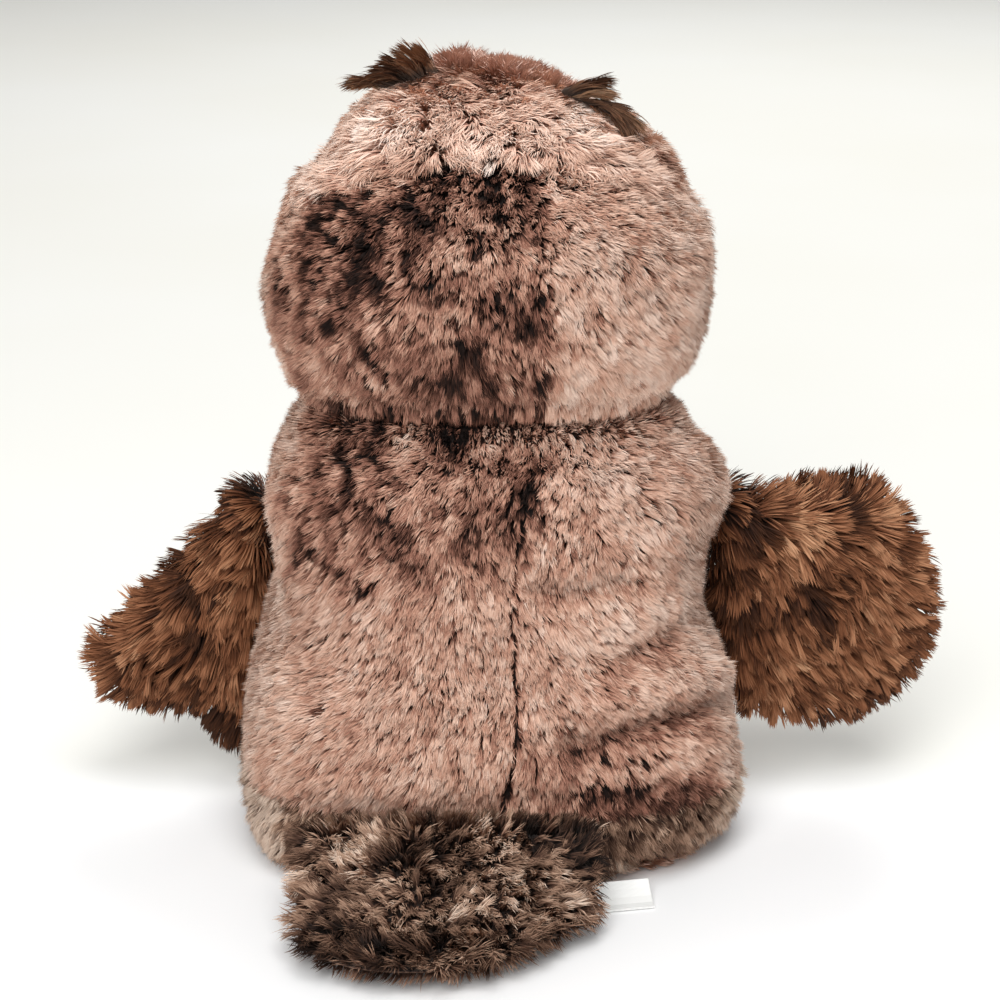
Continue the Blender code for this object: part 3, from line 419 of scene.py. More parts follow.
LOOKS = {
    "frosted": fur_look(
        "frosted_fur",
        ((0.0, "1d0f0a"), (0.16, "4d2f23"), (0.36, "a36f5c"), (0.58, "d2a189"), (0.8, "ebc5ae"), (1.0, "fadfcd")),
        ((0.0, "140a06"), (0.25, "4b2b20"), (0.55, "ab7863"), (0.8, "d6a58e"), (1.0, "edc3ad")),
        ((0.0, "0a0503"), (0.5, "2c1710"), (1.0, "6a4334")),
        (0.22, 0.5), (0.5, 0.8),
    ),
    "mottled": fur_look(
        "mottled_fur",
        ((0.0, "26160f"), (0.3, "684c3c"), (0.6, "a5826b"), (0.85, "cdac94"), (1.0, "e8d0bc")),
        ((0.0, "170c07"), (0.5, "583c2e"), (1.0, "9b7763")),
        ((0.0, "0c0603"), (1.0, "3a241a")),
        (0.2, 0.5), (0.5, 0.9),
    ),
    "cream": fur_look(
        "cream_fur",
        ((0.0, "a97a64"), (0.4, "dcb49d"), (0.75, "f4d6c3"), (1.0, "fdeadd")),
        ((0.0, "8f6150"), (0.5, "cf9f8a"), (1.0, "eec9b5")),
        ((0.0, "7a5544"), (1.0, "c79d87")),
        (0.12, 0.42), (0.42, 0.8),
    ),
    "shaggy": fur_look(
        "shaggy_fur",
        ((0.0, "43240f"), (0.3, "7c4c30"), (0.6, "a57150"), (0.85, "c1906c"), (1.0, "d8ae88")),
        ((0.0, "2c1508"), (0.5, "6e4027"), (1.0, "966344")),
        ((0.0, "120803"), (0.5, "341c0f"), (1.0, "56351f")),
        (0.1, 0.42), (0.45, 0.95),
    ),
    "dark_tuft": fur_look(
        "dark_tuft_fur",
        ((0.0, "462a18"), (0.4, "956848"), (0.75, "bd9270"), (1.0, "d8b28f")),
        ((0.0, "2c170b"), (0.5, "805438"), (1.0, "ae8360")),
        ((0.0, "120a05"), (1.0, "4a3020")),
        (0.05, 0.4), (0.35, 0.85),
    ),
    "ruffle": fur_look(
        "ruffle_fur",
        ((0.0, "8f6353"), (0.5, "c69d8b"), (1.0, "ebcbbb")),
        ((0.0, "7a5142"), (0.5, "b48977"), (1.0, "d6ac9a")),
        ((0.0, "3a2018"), (1.0, "7a5142")),
        (0.05, 0.35), (0.35, 0.8),
    ),
    "disc": fur_look(
        "disc_plush",
        ((0.0, "c4a48c"), (0.5, "e6cfba"), (1.0, "f7e9db")),
        ((0.0, "a07f69"), (1.0, "dcc0aa")),
        ((0.0, "6b4f3e"), (1.0, "a98872")),
        (0.1, 0.5), (0.4, 0.9),
    ),
    "foot": fur_look(
        "foot_plush",
        ((0.0, "cf9f82"), (0.5, "e8c0a4"), (1.0, "f8dfca")),
        ((0.0, "b4846a"), (1.0, "e0b292")),
        ((0.0, "855f4a"), (1.0, "b88b6d")),
        (0.1, 0.5), (0.4, 0.9),
    ),
    "dark_cloth": cloth_look("dark_backing_cloth", "160d09", "35231b"),
    "cream_cloth": cloth_look("cream_backing_cloth", "5e4032", "a07c69"),
    "pouch": cloth_look("pouch_cloth_weave", "b9b9b4", "dededa"),
    "felt": felt_look(),
    "fibre": cloth_look("fibre_fill", "cfcfca", "f2f2ee", 300.0),
    "brown_cloth": cloth_look("brown_backing_cloth", "1c0f08", "3d2617"),
}

# Fur


def add_mesh(name, points, faces, look, body, uvs=None):
    """A smooth mesh object from arrays, which rides on a body. Faces are rows of 3 or 4."""
    mesh = bpy.data.meshes.new(name)
    mesh.vertices.add(len(points))
    mesh.vertices.foreach_set("co", np.ascontiguousarray(points, np.float32).ravel())
    flat = np.concatenate([f.ravel() for f in faces]).astype(np.int32)
    sizes = np.concatenate([np.full(len(f), f.shape[1]) for f in faces])
    starts = np.concatenate([[0], np.cumsum(sizes)[:-1]]).astype(np.int32)
    mesh.loops.add(len(flat))
    mesh.loops.foreach_set("vertex_index", flat)
    mesh.polygons.add(len(sizes))
    mesh.polygons.foreach_set("loop_start", starts)
    mesh.update(calc_edges=True)
    if uvs is not None:
        layer = mesh.uv_layers.new(name="OFBake")
        layer.uv.foreach_set("vector", np.ascontiguousarray(uvs[flat], np.float32).ravel())
    mesh.materials.append(LOOKS[look])
    made = bpy.data.objects.new(name, mesh)
    bpy.context.scene.collection.objects.link(made)
    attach(made, body)
    return made


def grid_faces(rows, columns, wrap=False):
    k = np.arange(rows * columns).reshape(rows, columns)
    if wrap:
        k = np.hstack([k, k[:, :1]])
    quads = np.stack([k[:-1, :-1], k[:-1, 1:], k[1:, 1:], k[1:, :-1]], -1)
    return quads.reshape(-1, 4)


MAX_STRANDS = {3: 36000, 4: 26000, 5: 20000}


class Coat:
    """How one kind of fur grows."""

    def __init__(
        self, look, slot, length, width=0.55, levels=3, lean=(20, 70), lock=3.0, pull=0.55,
        turn=14, stray=10, tone_step=0.22, stretch=1.0, curl=0.0, bundle=9.0, bundle_pull=0.12,
        shape=1.1, ragged=0.16, blunt=1.0, fine=0.06,
    ):
        self.look, self.slot, self.length, self.width, self.levels = look, slot, length * MM, width * MM, levels
        self.lean = tuple(math.radians(v) for v in lean)
        self.lock, self.pull, self.tone_step, self.curl = lock * MM, pull, tone_step, curl
        self.turn, self.stray, self.stretch = math.radians(turn), math.radians(stray), stretch
        self.bundle, self.bundle_pull = bundle * MM, bundle_pull
        self.shape, self.ragged, self.blunt, self.fine = shape, ragged, blunt, fine


def rotated(vector, axis, angle):
    """Each vector, which is square to its axis, turned round it."""
    return vector * np.cos(angle)[:, None] + np.cross(axis, vector) * np.sin(angle)[:, None]


def grow(name, body, coat, roots, normals, flow, tone, length=1.0, lean=0.0, seed=1, gather=1.0, spotty=0.0, centres=None):
    """Ribbon strands in locks, as one or more pieces. length and lean may be given for each root."""
    count = len(roots)
    length = np.broadcast_to(length, count) * coat.length
    lean = np.broadcast_to(lean, count)
    flow = unit(flow - (flow * normals).sum(-1)[:, None] * normals)
    stretched = roots * np.array([1.0, 1.0, coat.stretch])
    centre, key = locks(stretched, coat.lock, seed)
    centre = centre / np.array([1.0, 1.0, coat.stretch])
    if centres is not None:
        centre, number = centres
        key = np.column_stack([number, 0 * number, 0 * number])
    chance = [lattice(key, seed + 11 + k) - 0.5 for k in range(5)]
    wide, wide_key = locks(roots, coat.bundle, seed + 5)
    wide_chance = [lattice(wide_key, seed + 21 + k) - 0.5 for k in range(2)]
    dark = (lattice(key, seed + 17) < spotty) * rng.uniform(0.5, 1.0, count)
    length = length * (1 - 0.18 * dark)
    tone = tone - 0.44 * dark
    pull = coat.pull * np.broadcast_to(gather, count)[:, None]
    turn = 2 * coat.turn * (chance[0] + wide_chance[0]) + rng.normal(0, coat.stray, count)
    flow = rotated(flow, normals, turn)
    length = length * (1 + 0.24 * chance[1]) * rng.uniform(1 - coat.ragged, 1.05, count)
    first = coat.lean[0] + lean + 0.5 * chance[2] + rng.normal(0, 0.10, count)
    last = coat.lean[1] + lean + 0.5 * chance[2] + rng.normal(0, 0.12, count)
    levels = coat.levels
    side = np.cross(flow, normals)
    bend = coat.curl * chance[3] * 2
    spots = [roots]
    reach = (np.arange(levels + 1) / levels) ** coat.blunt
    for k in range(levels):
        t = (reach[k] + reach[k + 1]) / 2
        angle = first + (last - first) * t ** 0.8
        step = np.cos(angle)[:, None] * normals + np.sin(angle)[:, None] * flow
        step = step + (bend * t)[:, None] * side
        spots.append(spots[-1] + step * (length * (reach[k + 1] - reach[k]))[:, None])
    towards = centre - roots
    towards -= (towards * normals).sum(-1)[:, None] * normals
    wide_towards = wide - roots
    wide_towards -= (wide_towards * normals).sum(-1)[:, None] * normals
    for k in range(1, levels + 1):
        t = reach[k]
        spots[k] = spots[k] + towards * (pull * t ** coat.shape) + wide_towards * (coat.bundle_pull * t)
    for spot in spots:
        spot[:, 2] = np.maximum(spot[:, 2], 0.6 * MM)
    roll = rng.uniform(-0.9, 0.9, count)
    size = coat.width * rng.uniform(0.7, 1.3, count) / 2
    verts, shades = [], []
    for k in range(levels + 1):
        along = spots[min(k + 1, levels)] - spots[max(k - 1, 0)]
        along = unit(along)
        across = unit(np.cross(along, normals))
        facing = np.cross(across, along)
        across = across * np.cos(roll)[:, None] + facing * np.sin(roll)[:, None]
        shade = unit(normals * 0.75 + np.cross(across, along) * 0.25)
        if k == levels:
            verts.append(spots[k])
            shades.append(shade)
        else:
            taper = (1.0, 0.98, 0.94, 0.88, 0.8)[k] if coat.blunt < 1 else (1.0, 0.95, 0.8, 0.65, 0.5)[k] if levels > 3 else (1.0, 0.9, 0.62)[k]
            w = across * (size * taper)[:, None]
            verts += [spots[k] - w, spots[k] + w]
            shades += [shade, shade]
    verts = np.stack(verts, 1)
    shades = np.stack(shades, 1)
    tone = np.clip(tone + 2 * coat.tone_step * chance[4] + rng.normal(0, coat.fine, count), 0.01, 0.99)
    along = np.repeat(reach[:-1], 2).tolist() + [0.985]
    uvs = np.stack(np.broadcast_arrays(tone[:, None], np.array(along)[None, :]), -1)
    per = 2 * levels + 1
    quad = np.array([[2 * k, 2 * k + 1, 2 * k + 3, 2 * k + 2] for k in range(levels - 1)])
    tip = np.array([[2 * levels - 2, 2 * levels - 1, 2 * levels]])
    order = np.argsort(roots[:, 0], kind="stable")
    parts = np.array_split(order, max(1, math.ceil(count / MAX_STRANDS[levels])))
    made = []
    for number, part in enumerate(parts):
        start = (np.arange(len(part)) * per)[:, None, None]
        faces = [(start + quad[None]).reshape(-1, 4), (start + tip[None]).reshape(-1, 3)]
        label = name if len(parts) == 1 else "%s_%d" % (name, number + 1)
        piece = add_mesh(label, verts[part].reshape(-1, 3), faces, coat.look, body, uvs[part].reshape(-1, 2))
        attribute = piece.data.attributes.new("custom_normal", "FLOAT_VECTOR", "POINT")
        attribute.data.foreach_set("vector", shades[part].reshape(-1).astype(np.float32))
        made.append(piece)
    return made


def scatter(surface, density, weight=None, cells=(160, 120)):
    """Shares (u, v) spread evenly over a surface at a number of strands per square millimetre."""
    u, v = np.meshgrid(np.linspace(0, 1, cells[0] + 1), np.linspace(0, 1, cells[1] + 1))
    points = surface(u.ravel(), v.ravel())[0].reshape(u.shape + (3,))
    a, b = points[:-1, 1:] - points[:-1, :-1], points[1:, :-1] - points[:-1, :-1]
    area = np.linalg.norm(np.cross(a, b), axis=-1).ravel()
    middle = points[:-1, :-1].reshape(-1, 3)
    mass = area * (weight(middle) if weight else 1.0)
    total = int(mass.sum() / MM**2 * density)
    chosen = rng.choice(len(mass), total, p=mass / mass.sum())
    row, column = np.divmod(chosen, cells[0])
    return (column + rng.random(total)) / cells[0], (row + rng.random(total)) / cells[1]


def skin(name, body, surface, look, nodes, cells=(70, 50)):
    """The cloth that the pile is fixed to, which stands for its CAD solids."""
    u, v = np.meshgrid(np.linspace(0, 1, cells[0] + 1), np.linspace(0, 1, cells[1] + 1))
    points = surface(u.ravel(), v.ravel())[0]
    made = add_mesh(name, points, [grid_faces(*u.shape)], look, body)
    if nodes:
        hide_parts(*nodes)
    return made


# Flow and tones, set in the picture


def parting(x, y):
    """How close each place is to a back seam, from 0 to 1, and on which side of it."""
    near = np.zeros(len(x))
    side = np.zeros(len(x))
    broken = smooth(noise(np.column_stack([x, y, 0 * x]), 22.0, 93), 0.25, 0.6)
    for line, strength in ((BODY_SEAM, 0.78), (HEAD_SEAM, 0.4)):
        close = smooth(line_distance(x, y, line), 7, 1) * strength * broken
        middle = np.interp(y, [p[1] for p in line], [p[0] for p in line])
        side = np.where(close > near, np.sign(x - middle), side)
        near = np.maximum(near, close)
    return near, side


def fall(points, normals):
    """The way the pile lies: down and outwards from the middle line."""
    x, y = to_px(points)
    share = np.clip((x - 490) / 210, -1, 1)
    high = smooth(y, 330, 170)
    angle = np.radians(47 + high * np.where(share < 0, 34, 6)) * share
    angle += (noise(points, 22 * MM, 8) - 0.5) * 1.1
    near, side = parting(x, y)
    near = near * smooth(normals @ BACK, 0.1, 0.3)
    return np.cos(angle)[:, None] * -UP + (np.sin(angle) + 1.2 * near * side)[:, None] * RIGHT


STROKES = (  # half width, then the line that each near-black mark follows
    (6, (412, 262), (440, 292)), (6, (499, 215), (505, 245)), (6, (510, 275), (514, 306)), (5, (422, 172), (452, 180)),
    (6, (352, 205), (368, 212)), (7, (345, 240), (362, 262)), (5, (290, 218), (306, 226)), (6, (483, 192), (500, 200)),
    (5, (430, 222), (440, 232)), (4, (540, 245), (546, 262)), (4, (536, 360), (538, 395)), (5, (372, 340), (398, 378)),
    (5, (318, 300), (345, 330)), (5, (380, 300), (392, 312)), (4, (455, 330), (462, 350)), (5, (470, 235), (478, 250)),
    (5, (572, 160), (612, 158), (650, 170), (680, 190)), (4, (420, 138), (437, 142)), (6, (330, 225), (340, 240)),
    (5, (405, 398), (440, 404)), (5, (462, 408), (500, 418)), (5, (516, 424), (540, 424)), (5, (560, 412), (605, 410)),
    (5, (660, 398), (695, 404)), (5, (628, 380), (642, 388)), (6, (445, 432), (460, 440)), (6, (522, 420), (536, 428)),
    (6, (580, 424), (598, 432)), (9, (345, 450), (362, 480)), (5, (325, 470), (382, 455)), (6, (533, 478), (528, 506)),
    (5, (385, 510), (402, 517)), (7, (338, 556), (374, 584)), (5, (320, 540), (340, 552)), (4, (572, 604), (585, 618)),
    (3, (404, 670), (414, 678)), (4, (519, 720), (516, 748)), (6, (575, 785), (640, 778)), (5, (600, 758), (660, 752)),
    (5, (330, 828), (360, 832)), (4, (690, 700), (712, 690)), (4, (640, 500), (650, 512)), (4, (430, 470), (440, 490)),
)


def dark_places(x, y):
    spot = np.column_stack([x, y, 0 * x])
    x = x + (noise(spot, 12.0, 91) - 0.5) * 14
    y = y + (noise(spot, 12.0, 92) - 0.5) * 14
    total = np.zeros(len(x))
    for width, *line in STROKES:
        total = np.maximum(total, np.exp(-((line_distance(x, y, line) / (0.85 * width)) ** 2)))
    return 0.8 * total


def left_half(x, y):
    spot = np.column_stack([x, y, 0 * x])
    wave = (noise(spot, 16.0, 94) - 0.5) * np.where(y < 405, 24, 50)
    return smooth(x + wave, np.where(y < 405, 554, 566), np.where(y < 405, 532, 520))


def spotty(points, normals):
    """The share of near-black locks."""
    x, y = to_px(points)
    head, left = smooth(y, 415, 395), left_half(x, y)
    share = 0.03 + head * left * (0.11 + 0.05 * smooth(y, 330, 220)) + (1 - head) * 0.08 * left * smooth(y, 640, 520)
    share *= 0.3 + 1.4 * smooth(noise(points, 7 * MM, 37), 0.35, 0.65)
    share += 0.05 * smooth(y, 200, 180) * head + 0.05 * (1 - head) * smooth(y, 690, 720) * (1 - left)
    share = np.maximum(share, dark_places(x, y))
    return share * smooth(normals @ BACK, 0.25, 0.5)


def darker_side(points):
    """The head's left half and the body's upper left, which are darker and more mottled."""
    x, y = to_px(points)
    head, left = smooth(y, 415, 395), left_half(x, y)
    return np.maximum(head * left, (1 - head) * left * smooth(y, 640, 520)) * smooth(points[:, 1], 0.0, 15 * MM)


def fold_highlight_and_shade(x, y):
    """Painted highlight on the fold ridges and painted shade in the fold hollows: paler pile on the ridges, dull pink
    pile in the hollows.
    """
    total = 0.0
    for line, height, width in RELIEF:
        if abs(height) > 2.5:
            near = np.exp(-((line_distance(x, y, line) / (0.9 * width)) ** 2))
            total = total + near * (0.10 if height > 0 else 0.034 * height)
    return total


def frost_tone(points, normals):
    """How pale the frosted pile is, from 0 to 1."""
    x, y = to_px(points)
    facing = smooth(normals @ BACK, 0.2, 0.5)
    head, left = smooth(y, 415, 395), left_half(x, y)
    base = head * (0.79 - 0.42 * left)
    base += (1 - head) * (0.70 - 0.24 * left * smooth(y, 640, 520) + 0.06 * (1 - left) * smooth(y, 660, 560) - 0.10 * (1 - left) * smooth(y, 620, 740))
    streak = points * np.array([1.0, 1.0, 0.55])
    broken = smooth(noise(streak, 4.5 * MM, 34), 0.30, 0.62)
    near = parting(x, y)[0]
    base -= np.maximum(dark_places(x, y) * broken * 0.5, 0.34 * near**3) * facing
    # painted highlight on the fold ridges and painted shade in the fold hollows
    base += fold_highlight_and_shade(x, y) * facing
    crease = np.exp(-((points[:, 2] - NECK_Z) / (9 * MM)) ** 2)
    base += 0.10 * crease * (1 - dark_places(x, y))
    patchy = 0.4 + 0.6 * np.maximum(head * left, (1 - head) * left * smooth(y, 640, 520))
    base += (noise(points, 12 * MM, 31) - 0.5) * (0.42 - 0.3 * head) * patchy + (noise(streak, 5 * MM, 32) - 0.5) * (0.5 + 0.14 * head) * patchy
    lower = smooth(y, 764, 786) * smooth(x, 572, 592) * smooth(x, 728, 700)
    base -= 0.34 * lower * smooth(noise(points, 9 * MM, 36), 0.2, 0.6)
    base += 0.3 * head * left * smooth(y, 205, 180) * smooth(noise(streak, 6 * MM, 38), 0.42, 0.68) * facing
    rim = 0.32 * smooth(normals[:, 1], 0.6, 0.3)
    return np.minimum(base + rim, np.where(rim > 0.05, 0.88, 1.0))


def dress(name, body, patch, nodes, coat, cloth, density, tone, cells=(70, 50), flow=fall, length=1.0, lean=0.0, seed=1):
    """A skin and its fur over a patch of a form."""
    skin(name + "_skin", body, lambda u, v: patch.at(u, v, PILE), cloth, nodes, cells)
    u, v = scatter(patch.at, density)
    roots, normals = patch.at(u, v, PILE)
    near = parting(*to_px(roots))[0] * smooth(normals @ BACK, 0.2, 0.5)
    if coat is CROWN:
        length = 0.8 + 0.4 * noise(roots, 8 * MM, 68) - 0.14 * smooth(roots[:, 1], 34 * MM, 14 * MM)
    made = grow(
        name + "_fur", body, coat, roots, normals, flow(roots, normals), tone(roots, normals),
        length * (1 - 0.25 * near), (lean(u, v) if callable(lean) else lean) + 0.2 * near, seed,
        0.32 + 1.0 * smooth(noise(roots, 8 * MM, 33), 0.4, 0.75) + 0.2 * darker_side(roots), spotty(roots, normals) * (0.3 if coat is CROWN else 1.0),
    )
    return made


def crown_place(angle):
    return 3.9 + 2.5 * abs(np.sin(angle)) ** 0.8


SHORT = Coat("frosted", "frosted_fur", 7.2, 0.41, 3, (3, 40), lock=2.0, pull=0.42, turn=20, stretch=0.65, tone_step=0.155, bundle=7, bundle_pull=0.12)
CREAM = Coat("cream", "cream_fur", 7.7, 0.48, 3, (4, 46), lock=2.1, pull=0.36, turn=14, stretch=0.7, tone_step=0.10)
MOTTLED = Coat("mottled", "mottled_fur", 8.4, 0.5, 3, (0, 48), lock=2.4, pull=0.6, turn=26, stretch=0.8, tone_step=0.26)
SEAT_COAT = Coat("cream", "cream_fur", 5.4, 0.5, 3, (6, 26), lock=2.6, pull=0.5)
CROWN = Coat("cream", "cream_fur", 10.5, 0.48, 4, (12, 84), lock=3.0, pull=0.42, turn=34, curl=0.6, bundle=8, bundle_pull=0.14, tone_step=0.12)


def cream_tone(points, normals):
    return 0.76 + (noise(points, 15 * MM, 41) - 0.5) * 0.16 + (noise(points, 5 * MM, 42) - 0.5) * 0.26


def build_torso():
    back = ((-14, 94, "left"), (94, 194, "right"))
    for start, end, side in back:
        patch = Patch(TORSO, start, end, TAIL_SEAM, TORSO.top)
        name = "body_back_%s" % side
        dress(name, "torso", patch, [name + "_panel"], SHORT, "dark_cloth", 5.8, frost_tone, seed=2)
    rump = Patch(TORSO, -14, 194, 0.15, TAIL_SEAM)
    dress("rump", "torso", rump, ["rump_panel"], MOTTLED, "dark_cloth", 3.2, mottled_tone, seed=3)
    belly = Patch(TORSO, 194, 346, 0.15, TORSO.top)
    dress("belly", "torso", belly, ["belly_panel"], CREAM, "cream_cloth", 2.8, cream_tone, seed=4)


def build_seat():
    """The bottom, whose short pile curls under from the sides."""
    edge = Patch(TORSO, 0, 360, 0.15, 0.15)

    def seat(u, v, depth=0.0):
        rim, normals = edge.at(u, np.zeros(len(u)), PILE)
        share = np.clip(v / 0.9, 0, 1)[:, None]
        lift = smooth(v, 0.85, 1.0)
        points = rim * share
        points[:, 2] = 0.5 * MM * (1 - lift) + rim[:, 2] * lift
        return points, unit(normals * (0.2 + v)[:, None] + np.array([0.0, 0.0, -0.9]))

    skin("seat_cloth", "torso", seat, "cream_cloth", ["seat_panel"], (90, 24))
    u, v = scatter(lambda a, b: seat(a, 0.86 + 0.14 * b), 3.4, cells=(160, 8))
    roots, normals = seat(u, 0.86 + 0.14 * v)
    roots[:, 2] = np.maximum(roots[:, 2], 1.4 * MM)
    out = roots * np.array([1.0, 1.0, 0.0])
    grow("seat_fur", "torso", SEAT_COAT, roots, unit(out + np.array([0.0, 0.0, 0.004])), out * 0 + np.array([0.0, 0.0, 1.0]), cream_tone(roots, normals) - 0.25, 1.0, 0.0, 15)


def build_fillings():
    """The fibre inside, which keeps to the skins' folds."""
    for name, body, form, low in (("body_filling", "torso", TORSO, 0.4), ("head_filling", "head", HEAD, 0.2)):
        patch = Patch(form, 0, 360, low, form.top)
        skin(name + "_fibre", body, lambda u, v: patch.at(u, v, PILE + 2.5 * MM), "fibre", [name], (72, 40))


def mottled_tone(points, normals):
    x, y = to_px(points)
    pale = np.maximum(np.maximum(smooth(x, 302, 282), smooth(x, 702, 714)), smooth(y, 842, 856) * smooth(x, 600, 612))
    rosy = smooth(y, 826, 812) * smooth(x, 330, 360) * smooth(x, 580, 550)
    base = 0.55 + 0.3 * rosy - 0.04 * smooth(x, 620, 660) + 0.5 * pale + (noise(points, 10 * MM, 51) - 0.5) * 0.6 + (noise(points, 4 * MM, 52) - 0.5) * 0.4
    return base


def build_head():
    runs = (
        ("head_back_left", -20, 101, SHORT, "dark_cloth", 5.8, frost_tone, "frosted_fur"),
        ("head_back_right", 101, 200, SHORT, "dark_cloth", 5.8, frost_tone, "frosted_fur"),
        ("head_side_right", 200, 238, CREAM, "cream_cloth", 2.8, cream_tone, "cream_fur"),
        ("head_face", 238, 302, CREAM, "cream_cloth", 2.8, cream_tone, "cream_fur"),
        ("head_side_left", 302, 340, CREAM, "cream_cloth", 2.8, cream_tone, "cream_fur"),
    )
    for name, start, end, coat, cloth, density, tone, slot in runs:
        patch = Patch(HEAD, start, end, 0.0, crown_place)
        dress(name, "head", patch, [name + "_panel"], coat, cloth, density, tone, seed=5)
    crown = Patch(HEAD, 0, 360, crown_place, HEAD.top)
    dress("crown", "head", crown, ["crown_panel"], CROWN, "cream_cloth", 4.0, crown_tone, (120, 30), lean=fluffed, seed=6)


def fluffed(u, v):
    """The crown's rim stands up in loose waves."""
    place = np.column_stack([60 * u, 8 * v, 0 * u])
    return (noise(place, 2.2, 63) - 0.7) * 0.9 * smooth(v, 0.7, 0.2)


def crown_tone(points, normals):
    x, y = to_px(points)
    dark = dark_places(x, y) * smooth(normals @ BACK, 0.1, 0.3)
    brow = np.exp(-(((x - 512) / 86) ** 2 + ((y - 84) / 30) ** 4)) * smooth(points[:, 1], -25 * MM, -5 * MM)
    side = np.exp(-(((x - 650) / 50) ** 2 + ((y - 165) / 32) ** 2)) * 0.12
    side = side + 0.14 * smooth(y, 128, 165) * smooth(noise(points, 5 * MM, 64), 0.45, 0.62) * smooth(normals @ BACK, 0.1, 0.3)
    fringe = 0.5 * smooth(y, 150, 176) * smooth(x, 380, 420) * smooth(x, 570, 540) * smooth(noise(points, 6 * MM, 65), 0.4, 0.65)
    return 0.76 - fringe - 0.65 * dark - 0.45 * brow - side + (noise(points, 12 * MM, 61) - 0.5) * 0.5 + (noise(points, 4 * MM, 62) - 0.5) * 0.3


# Neck crease


class Lip:
    """The skin that rolls in at the crease and runs down to the neck's ball."""

    ROLL = 0.4

    def __init__(self, form, start, end):
        self.form, self.start, self.end = form, math.radians(start), math.radians(end)
        self.place = 0.0 if form is HEAD else form.top
        self.way = 1.0 if form is HEAD else -1.0

    def crease(self, y):
        return NECK_Z + 0.18 * y + self.way * 0.9 * MM

    def at(self, u, v, depth=0.0):
        angle = self.start + (self.end - self.start) * u
        place = np.full(len(u), self.place)
        edge = self.form.point(angle, place)
        normal = self.form.normal(angle, place)
        edge = edge + (relief(edge, normal) - PILE)[:, None] * normal
        out = unit(normal * np.array([1.0, 1.0, 0.0]))
        turn = np.minimum(v / self.ROLL, 1) * math.pi / 2
        rolled = edge - out * (4.5 * MM * (1 - np.cos(turn)))[:, None]
        rolled[:, 2] += (self.crease(edge[:, 1]) - edge[:, 2]) * np.sin(turn)
        inner = 21.6 * MM * np.stack([np.cos(angle), np.sin(angle)], -1)
        inner = np.column_stack([inner, self.crease(inner[:, 1])])
        share = (np.maximum(v - self.ROLL, 0) / (1 - self.ROLL))[:, None]
        up = np.array([0.0, 0.0, -self.way])
        normals = unit(out * (np.cos(turn) + 0.1)[:, None] + up * np.sin(turn)[:, None])
        return rolled * (1 - share) + inner * share, normals


def build_lips():
    for form, body, runs in (
        (TORSO, "torso", (("body_lip_back", -14, 194, SHORT, "dark_cloth", frost_tone), ("body_lip_front", 194, 346, CREAM, "cream_cloth", cream_tone))),
        (HEAD, "head", (("head_lip_back", -20, 200, SHORT, "dark_cloth", frost_tone), ("head_lip_front", 200, 340, CREAM, "cream_cloth", cream_tone))),
    ):
        for name, start, end, coat, cloth, tone in runs:
            lip = Lip(form, start, end)
            skin(name + "_skin", body, lip.at, cloth, [], (80, 20))
            u, v = scatter(lambda a, b: lip.at(a, b * 0.5), 6.0, cells=(160, 12))
            roots, normals = lip.at(u, v * 0.5)
            edge = lip.at(u, 0 * v)[0]
            flow = np.tile([0.0, 0.0, -1.0], (len(u), 1))
            reach = (1.0 - 0.5 * v) * (0.86 + 0.3 * noise(edge, 9 * MM, 66))
            lean = 0.0 if form is HEAD else -0.35
            facing = unit(normals * np.array([1.0, 1.0, 0.0]))
            # painted shade: the pile darkens deeper into the rolled lip, towards the neck crease
            shade = 0.16 * smooth(v, 0.0, 0.6) * smooth(noise(edge, 7 * MM, 67), 0.3, 0.6)
            grow(name + "_fur", body, coat, roots, normals, flow, tone(edge, facing) - shade, reach, lean, 7, spotty=spotty(edge, facing))


# Wings

WING_ROOT_RADIUS = 9 * MM
WINGS = {
    "left": (1, 67, (25, 20), 79 * MM, (1.16, 1.12, 0.97, 0.99, 1.05, 1.09, 1.02)),
    "right": (-1, 40, (51, 43), 83 * MM, (0.80, 0.94, 1.08, 1.07, 0.95, 0.80, 0.62)),
}


def spread(shares, share):
    """A smooth curve through shares that are spread evenly from 0 to 1."""
    s = np.array(shares)
    s = np.concatenate([[2 * s[0] - s[1]], s, [2 * s[-1] - s[-2]]])
    place = np.clip(share, 0, 1) * (len(shares) - 1)
    k = np.clip(place.astype(int), 0, len(shares) - 2)
    t = place - k
    p, q, r, w = s[k], s[k + 1], s[k + 2], s[k + 3]
    return q + 0.5 * t * (r - p + t * (2 * p - 5 * q + 4 * r - w + t * (3 * (q - r) + w - p)))


def surface_normals(at, u, v, toward):
    """Normals of a surface of shares, on the side that faces a direction."""
    step = 0.004
    a = at(u + step, v) - at(u - step, v)
    b = at(u, v + step) - at(u, v - step)
    normals = unit(np.cross(a, b))
    return normals * np.where((normals * toward).sum(-1) < 0, -1.0, 1.0)[:, None]


